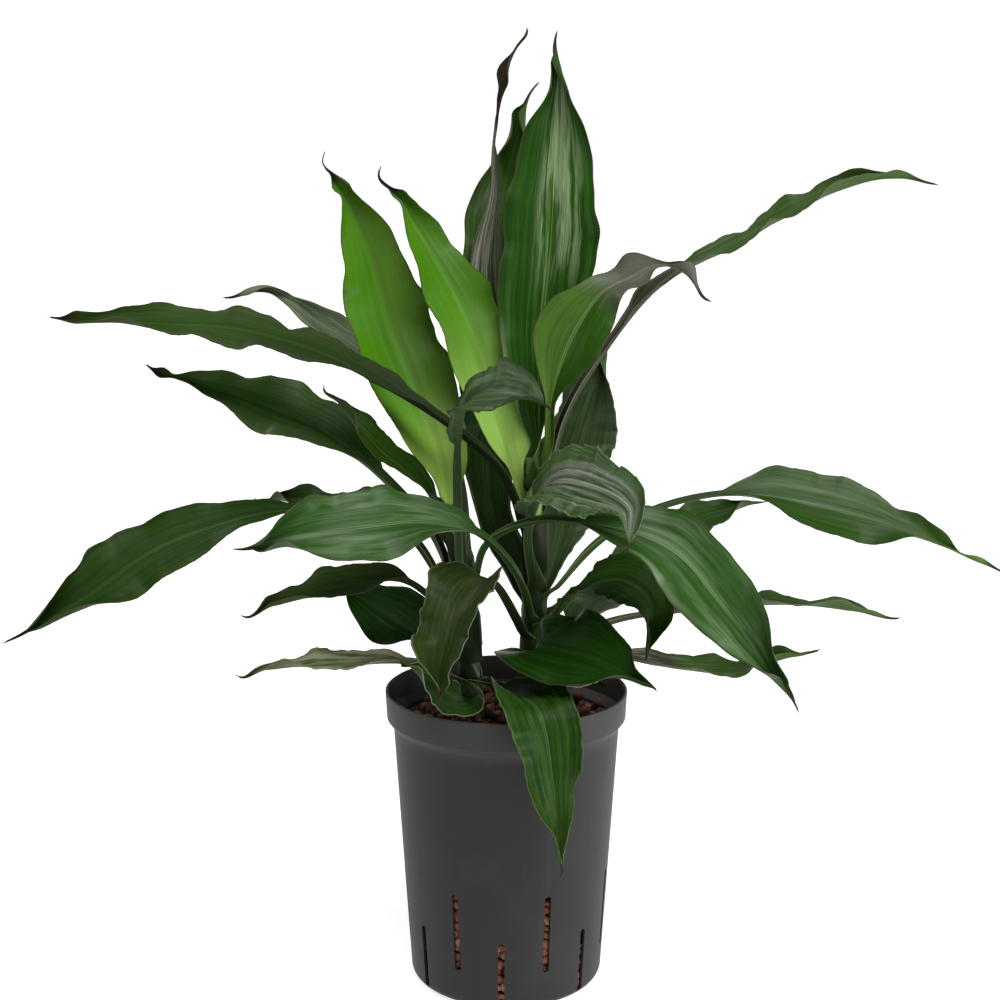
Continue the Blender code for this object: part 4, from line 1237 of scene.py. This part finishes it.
@dataclass(frozen=True)
class Pot:
    """The culture pot: a thin tapered wall with a collar and a ring of slots."""

    rim_radius: float = 75.0
    height: float = 185.0
    collar_height: float = 17.4
    collar_taper: float = 0.8
    collar_edge: float = 0.8
    step_height: float = 5.0
    step_ease: Point = (0.2, 0.5, 0.3)
    wall_top: float = 70.4
    wall_foot: float = 59.8
    rounding: float = 6.0
    wall: float = 1.6
    lip: float = 0.7
    turn_steps: int = 168
    slot_count: int = 14
    slot_width: float = 4.0
    slot_start: float = -93.0
    low_slot: tuple[float, float] = (2.0, 44.0)
    high_slot: tuple[float, float] = (23.0, 73.0)
    slot_depth: float = 12.0
    slot_rounding: float = 0.48
    finish: PlasticFinish = PlasticFinish()

    SHARP_DEG = 30

    def wall_radius(self, height: float) -> float:
        """Give the wall's outer radius at a height below the step."""
        share = height / (self.height - self.collar_height)
        return self.wall_foot + (self.wall_top - self.wall_foot) * share

    @staticmethod
    def arc(centre: tuple[float, float], radius: float, start: float, end: float,
            steps: int) -> list[tuple[float, float]]:
        """List an arc's points in the half section, its angles in degrees, 0 outwards and 90 up."""
        turns = np.radians(np.linspace(start, end, steps + 1))
        return [(centre[0] + radius * math.cos(a), centre[1] + radius * math.sin(a)) for a in turns]

    def profile(self) -> list[tuple[float, float]]:
        """List the half section: up the inside, over the lip and down the outside.

        Returns:
            Its points, each a radius and a height.
        """
        edge = self.collar_edge
        ease_out, ease_up, ease_down = self.step_ease
        step_top = self.height - self.collar_height
        step_foot = step_top - self.step_height
        foot = self.wall_radius(self.rounding)
        shoulder = self.rim_radius - self.collar_taper
        inner = self.arc((foot - self.rounding, self.rounding), self.rounding - self.wall, -90, 0, 6)
        inside_lip = (self.rim_radius - self.wall + self.lip, self.height - self.lip)
        outside_lip = (self.rim_radius - self.lip, self.height - self.lip)
        outer = self.arc((foot - self.rounding, self.rounding), self.rounding, 0, -90, 8)
        return [
            (0, self.wall),
            *inner,
            (self.wall_radius(step_foot) - self.wall, step_foot + self.wall),
            (shoulder - self.wall, step_top + self.wall),
            *self.arc(inside_lip, self.lip, 180, 90, 4),
            *self.arc(outside_lip, self.lip, 90, 0, 4),
            *self.arc((shoulder - edge, step_top + edge), edge, 0, -50, 3),
            (self.wall_radius(step_foot) + ease_out, step_foot + ease_up),
            (self.wall_radius(step_foot), step_foot - ease_down),
            *outer,
            (0, 0),
        ]

    def slots(self) -> Iterator[Point]:
        """List the slots.

        Returns:
            Each slot's turn round the pot in radians, its foot and its top.
        """
        for index in range(self.slot_count):
            span = self.high_slot if index % 2 else self.low_slot
            yield math.radians(self.slot_start + index * 360 / self.slot_count), *span

    def cutters(self) -> bpy.types.Object:
        """Make the round-ended bars that cut the slots, as one object.

        Returns:
            The bars.
        """
        bm = bmesh.new()
        for turn, low, high in self.slots():
            before = set(bm.verts)
            verts = bmesh.ops.create_cube(bm, size=1.0)["verts"]
            size = Vector((self.slot_depth, self.slot_width, high - low))
            bmesh.ops.scale(bm, vec=size, verts=verts)
            through = [e for e in bm.edges if e.verts[0] not in before
                       and abs(e.verts[0].co.x - e.verts[1].co.x) > self.slot_depth / 2]
            bmesh.ops.bevel(bm, geom=through, offset=self.slot_width * self.slot_rounding,
                            segments=6, profile=0.5, affect="EDGES", material=-1)
            bar = [v for v in bm.verts if v not in before]
            middle = (low + high) / 2
            reach = self.wall_radius(middle)
            bmesh.ops.rotate(bm, cent=Vector(), matrix=Matrix.Rotation(turn, 3, "Z"), verts=bar)
            centre = Vector((reach * math.cos(turn), reach * math.sin(turn), middle))
            bmesh.ops.translate(bm, vec=centre, verts=bar)
        return finished("slot_cutters", bm)

    def build(self) -> bpy.types.Object:
        """Spin the wall and cut its slots.

        Returns:
            The piece.
        """
        bm = bmesh.new()
        verts = [bm.verts.new((radius, 0, height)) for radius, height in self.profile()]
        edges = [bm.edges.new(pair) for pair in zip(verts, verts[1:])]
        bmesh.ops.spin(bm, geom=verts + edges, cent=Vector(), axis=Vector((0, 0, 1)),
                       angle=math.tau, steps=self.turn_steps, use_merge=True)
        bmesh.ops.remove_doubles(bm, verts=bm.verts, dist=0.001)
        bmesh.ops.recalc_face_normals(bm, faces=bm.faces)
        pot = finished("pot_wall", bm, self.finish.make("pot_plastic"))
        cutters = self.cutters()
        cut = pot.modifiers.new("Slots", "BOOLEAN")
        cut.operation = "DIFFERENCE"
        cut.object = cutters
        settle(pot, self.SHARP_DEG)
        bpy.data.objects.remove(cutters)
        stand_for(pot, "pot")
        return pot


@dataclass(frozen=True)
class Granules:
    """The clay granules: a dark core, a loose layer on top and those that show in the slots."""

    pot: Pot
    top: float = 166.0
    core_foot: float = 8.0
    core_drop: float = 3.0
    core_gap: float = 7.5
    core_flare: float = 6.0
    core_sides: int = 48
    size: tuple[float, float] = (2.7, 4.4)
    pitch: float = 7.4
    slot_pitch: float = 5.0
    margin: float = 1.0
    jitter: float = 1.2
    sunk: float = 1.5
    piled_share: float = 0.3
    pile: Point = (2, -2, 3.0)
    past_slot: float = 2
    slot_sides: tuple[float, float] = (-2.6, 2.4)
    seed: int = 11
    finish: ClayFinish = ClayFinish()

    TINT = "tint"
    # Tint ranges: the granules on top reach darker tints as painted shade under the leaves, those in the
    # slots lighter ones as painted light.
    TOP_TINTS_PAINTED_SHADE = (0.0, 0.75)
    SLOT_TINTS_PAINTED_LIGHT = (0.55, 1.0)
    SHARP_DEG = 70

    def inner_radius(self, height: float) -> float:
        """Give the pot wall's inner radius at a height."""
        return self.pot.wall_radius(height) - self.pot.wall

    def on_top(self, rng: random.Random) -> Iterator[Point]:
        """Scatter granules over the surface, with a few lying higher.

        Args:
            rng: The source of their places.

        Returns:
            The granules' centres.
        """
        reach = self.inner_radius(self.top) - self.size[1] - self.margin
        row_pitch = self.pitch * math.sqrt(3) / 2
        rows = int(reach / row_pitch) + 1
        for row in range(-rows, rows + 1):
            for column in range(-rows - 2, rows + 3):
                x = (column + row % 2 / 2) * self.pitch + rng.uniform(-self.jitter, self.jitter)
                y = row * row_pitch + rng.uniform(-self.jitter, self.jitter)
                if math.hypot(x, y) < reach:
                    yield x, y, self.top - self.sunk + rng.uniform(-1.5, 1.0)
                    if rng.random() < self.piled_share:
                        out, back, up = self.pile
                        yield x + out, y + back, self.top + up + rng.uniform(-0.6, 0.8)

    def behind_slots(self, rng: random.Random) -> Iterator[Point]:
        """Stack granules against the wall behind each slot.

        Args:
            rng: The source of their places.

        Returns:
            The granules' centres.
        """
        for turn, low, high in self.pot.slots():
            height = max(low, self.pot.wall + self.size[1])
            while height < high + self.past_slot:
                for sideways in self.slot_sides:
                    reach = self.inner_radius(height) - self.size[1] + rng.uniform(-0.6, 0.3)
                    angle = turn + (sideways + rng.uniform(-1, 1)) / reach
                    yield reach * math.cos(angle), reach * math.sin(angle), height + rng.uniform(-1, 1)
                height += self.slot_pitch + rng.uniform(-0.5, 1.0)

    def shape_lump(self, mesh: bpy.types.Mesh, place: Vector, rng: random.Random,
                   tints: tuple[float, float]) -> None:
        """Shape one granule, squashed, turned, uneven and with its own tint.

        Args:
            mesh: The mesh that takes the granule.
            place: Its centre.
            rng: The source of its size, turn and tint.
            tints: The darkest and the lightest tint that it may have.
        """
        size = rng.uniform(*self.size)
        squash = Matrix.Diagonal((size, size * rng.uniform(0.75, 0.95), size * rng.uniform(0.65, 0.85), 1))
        axis = Vector((rng.uniform(-1, 1), rng.uniform(-1, 1), rng.uniform(0.2, 1)))
        turn = Matrix.Rotation(rng.uniform(0, math.tau), 4, axis)
        bm = bmesh.new()
        bmesh.ops.create_icosphere(bm, subdivisions=2, radius=1, matrix=turn @ squash)
        tint = bm.verts.layers.float.new(self.TINT)
        shade = rng.uniform(*tints)
        for vert in bm.verts:
            vert.co = vert.co * (1 + rng.uniform(-0.12, 0.08)) + place
            vert[tint] = shade
        bm.to_mesh(mesh)
        bm.free()

    def build(self) -> bpy.types.Object:
        """Build the core and the loose granules as one piece.

        Returns:
            The piece.
        """
        rng = random.Random(self.seed)
        bm = bmesh.new()
        bm.verts.layers.float.new(self.TINT)
        low, high = self.core_foot, self.top - self.core_drop
        foot, top = (self.inner_radius(height) - self.core_gap for height in (low, high))
        # The core keeps tint 0, the darkest clay: painted shade in the gaps between the granules.
        core = bmesh.ops.create_cone(bm, cap_ends=True, segments=self.core_sides, radius1=foot,
                                     radius2=top + self.core_flare, depth=high - low)
        bmesh.ops.translate(bm, vec=Vector((0, 0, (low + high) / 2)), verts=core["verts"])
        lump = bpy.data.meshes.new("granule")
        lumps = [(place, self.TOP_TINTS_PAINTED_SHADE) for place in self.on_top(rng)]
        lumps += [(place, self.SLOT_TINTS_PAINTED_LIGHT) for place in self.behind_slots(rng)]
        for place, tints in lumps:
            self.shape_lump(lump, Vector(place), rng, tints)
            bm.from_mesh(lump)
        bpy.data.meshes.remove(lump)
        piece = finished("clay_granules_loose", bm, self.finish.make("fired_clay"))
        piece.data.set_sharp_from_angle(angle=math.radians(self.SHARP_DEG))
        stand_for(piece, "clay_granules")
        return piece


@dataclass(frozen=True)
class Lamp:
    """A soft square lamp that faces a point of the plant."""

    name: str
    place: Point
    size: float
    watts: float
    aim: Point = (0.0, 0.0, 300.0)
    colour: Colour = (1.0, 1.0, 1.0)

    def build(self) -> None:
        """Build the lamp."""
        light = bpy.data.lights.new(self.name, "AREA")
        light.shape = "SQUARE"
        light.size = self.size * MM
        light.energy = self.watts
        light.color = self.colour
        obj = put(self.name, light)
        obj.location = Vector(self.place) * MM
        obj.rotation_euler = (Vector(self.aim) - Vector(self.place)).to_track_quat("-Z", "Y").to_euler()


@dataclass(frozen=True)
class Studio:
    """The camera, the pale floor, the bright horizon under a dimmer ceiling, and the soft light."""

    eye: Point = (-3.9, -955.0, 470.0)
    pitch: float = 0.173
    lens: float = 57.3
    sensor: float = 36.0
    floor_radius: float = 30000.0
    floor_sides: int = 96
    floor_drop: float = 0.2
    horizon: float = 1.05
    ceiling: float = 0.2
    band: tuple[float, float] = (0.15, 0.34)
    overhead_watts: float = 3.3
    overhead_spread_deg: float = 36.0
    overhead_turn_deg: tuple[float, float, float] = (24.0, 10.0, 0.0)
    lamps: tuple[Lamp, ...] = (
        Lamp("key_lamp", (700, -700, 1300), 500, 5.0),
        Lamp("rim_lamp", (-900, 500, 1300), 500, 6.0),
        Lamp("side_lamp", (1000, -350, 260), 300, 8.0, aim=(0, 0, 100)),
    )

    def build_floor(self) -> None:
        """Lay a wide round floor that meets the bright horizon."""
        bm = bmesh.new()
        bmesh.ops.create_circle(bm, cap_ends=True, segments=self.floor_sides, radius=self.floor_radius)
        bmesh.ops.translate(bm, vec=Vector((0, 0, -self.floor_drop)), verts=bm.verts)
        floor = finished("studio_floor", bm, PaperFinish().make("pale_paper"))

    def build_camera(self) -> None:
        """Place the camera where the view is taken from."""
        camera = bpy.data.cameras.new("camera")
        camera.lens = self.lens
        camera.sensor_width = self.sensor
        obj = put("camera", camera)
        obj.location = Vector(self.eye) * MM
        obj.rotation_euler = (math.pi / 2 - self.pitch, 0, 0)
        bpy.context.scene.camera = obj

    def build_sky(self) -> None:
        """Light the surroundings: a bright band round the horizon and a dimmer ceiling."""
        world = bpy.data.worlds.new("studio_sky")
        world.use_nodes = True
        g = Graph(world.node_tree)
        _, _, rise = g.parts(g.wire("ShaderNodeTexCoord", {}, "Generated"))
        background = world.node_tree.nodes["Background"]
        g.feed(background.inputs["Color"], (1.0, 1.0, 1.0))
        g.feed(background.inputs["Strength"],
               rise.step(*self.band) * (self.ceiling - self.horizon) + self.horizon)
        bpy.context.scene.world = world

    def build_overhead(self) -> None:
        """Hang a very wide soft light overhead, a little in front."""
        light = bpy.data.lights.new("overhead_light", "SUN")
        light.energy = self.overhead_watts
        light.angle = math.radians(self.overhead_spread_deg)
        obj = put("overhead_light", light)
        obj.rotation_euler = [math.radians(turn) for turn in self.overhead_turn_deg]

    def build(self) -> None:
        """Build the camera, the floor and the light."""
        self.build_camera()
        self.build_floor()
        self.build_sky()
        self.build_overhead()
        for lamp in self.lamps:
            lamp.build()
        bpy.context.scene.view_settings.view_transform = "Standard"


def main() -> None:
    """Dress the model and report each piece's faces."""
    logging.basicConfig(level=logging.INFO, format="%(name)s: %(message)s")
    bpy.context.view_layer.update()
    Studio().build()
    pot = Pot()
    for piece in (pot.build(), Granules(pot).build(), *Plant(CANES, LEAVES).build()):
        LOG.info("%s: %d faces", piece.name, len(piece.data.polygons))


if __name__ == "__main__":
    main()
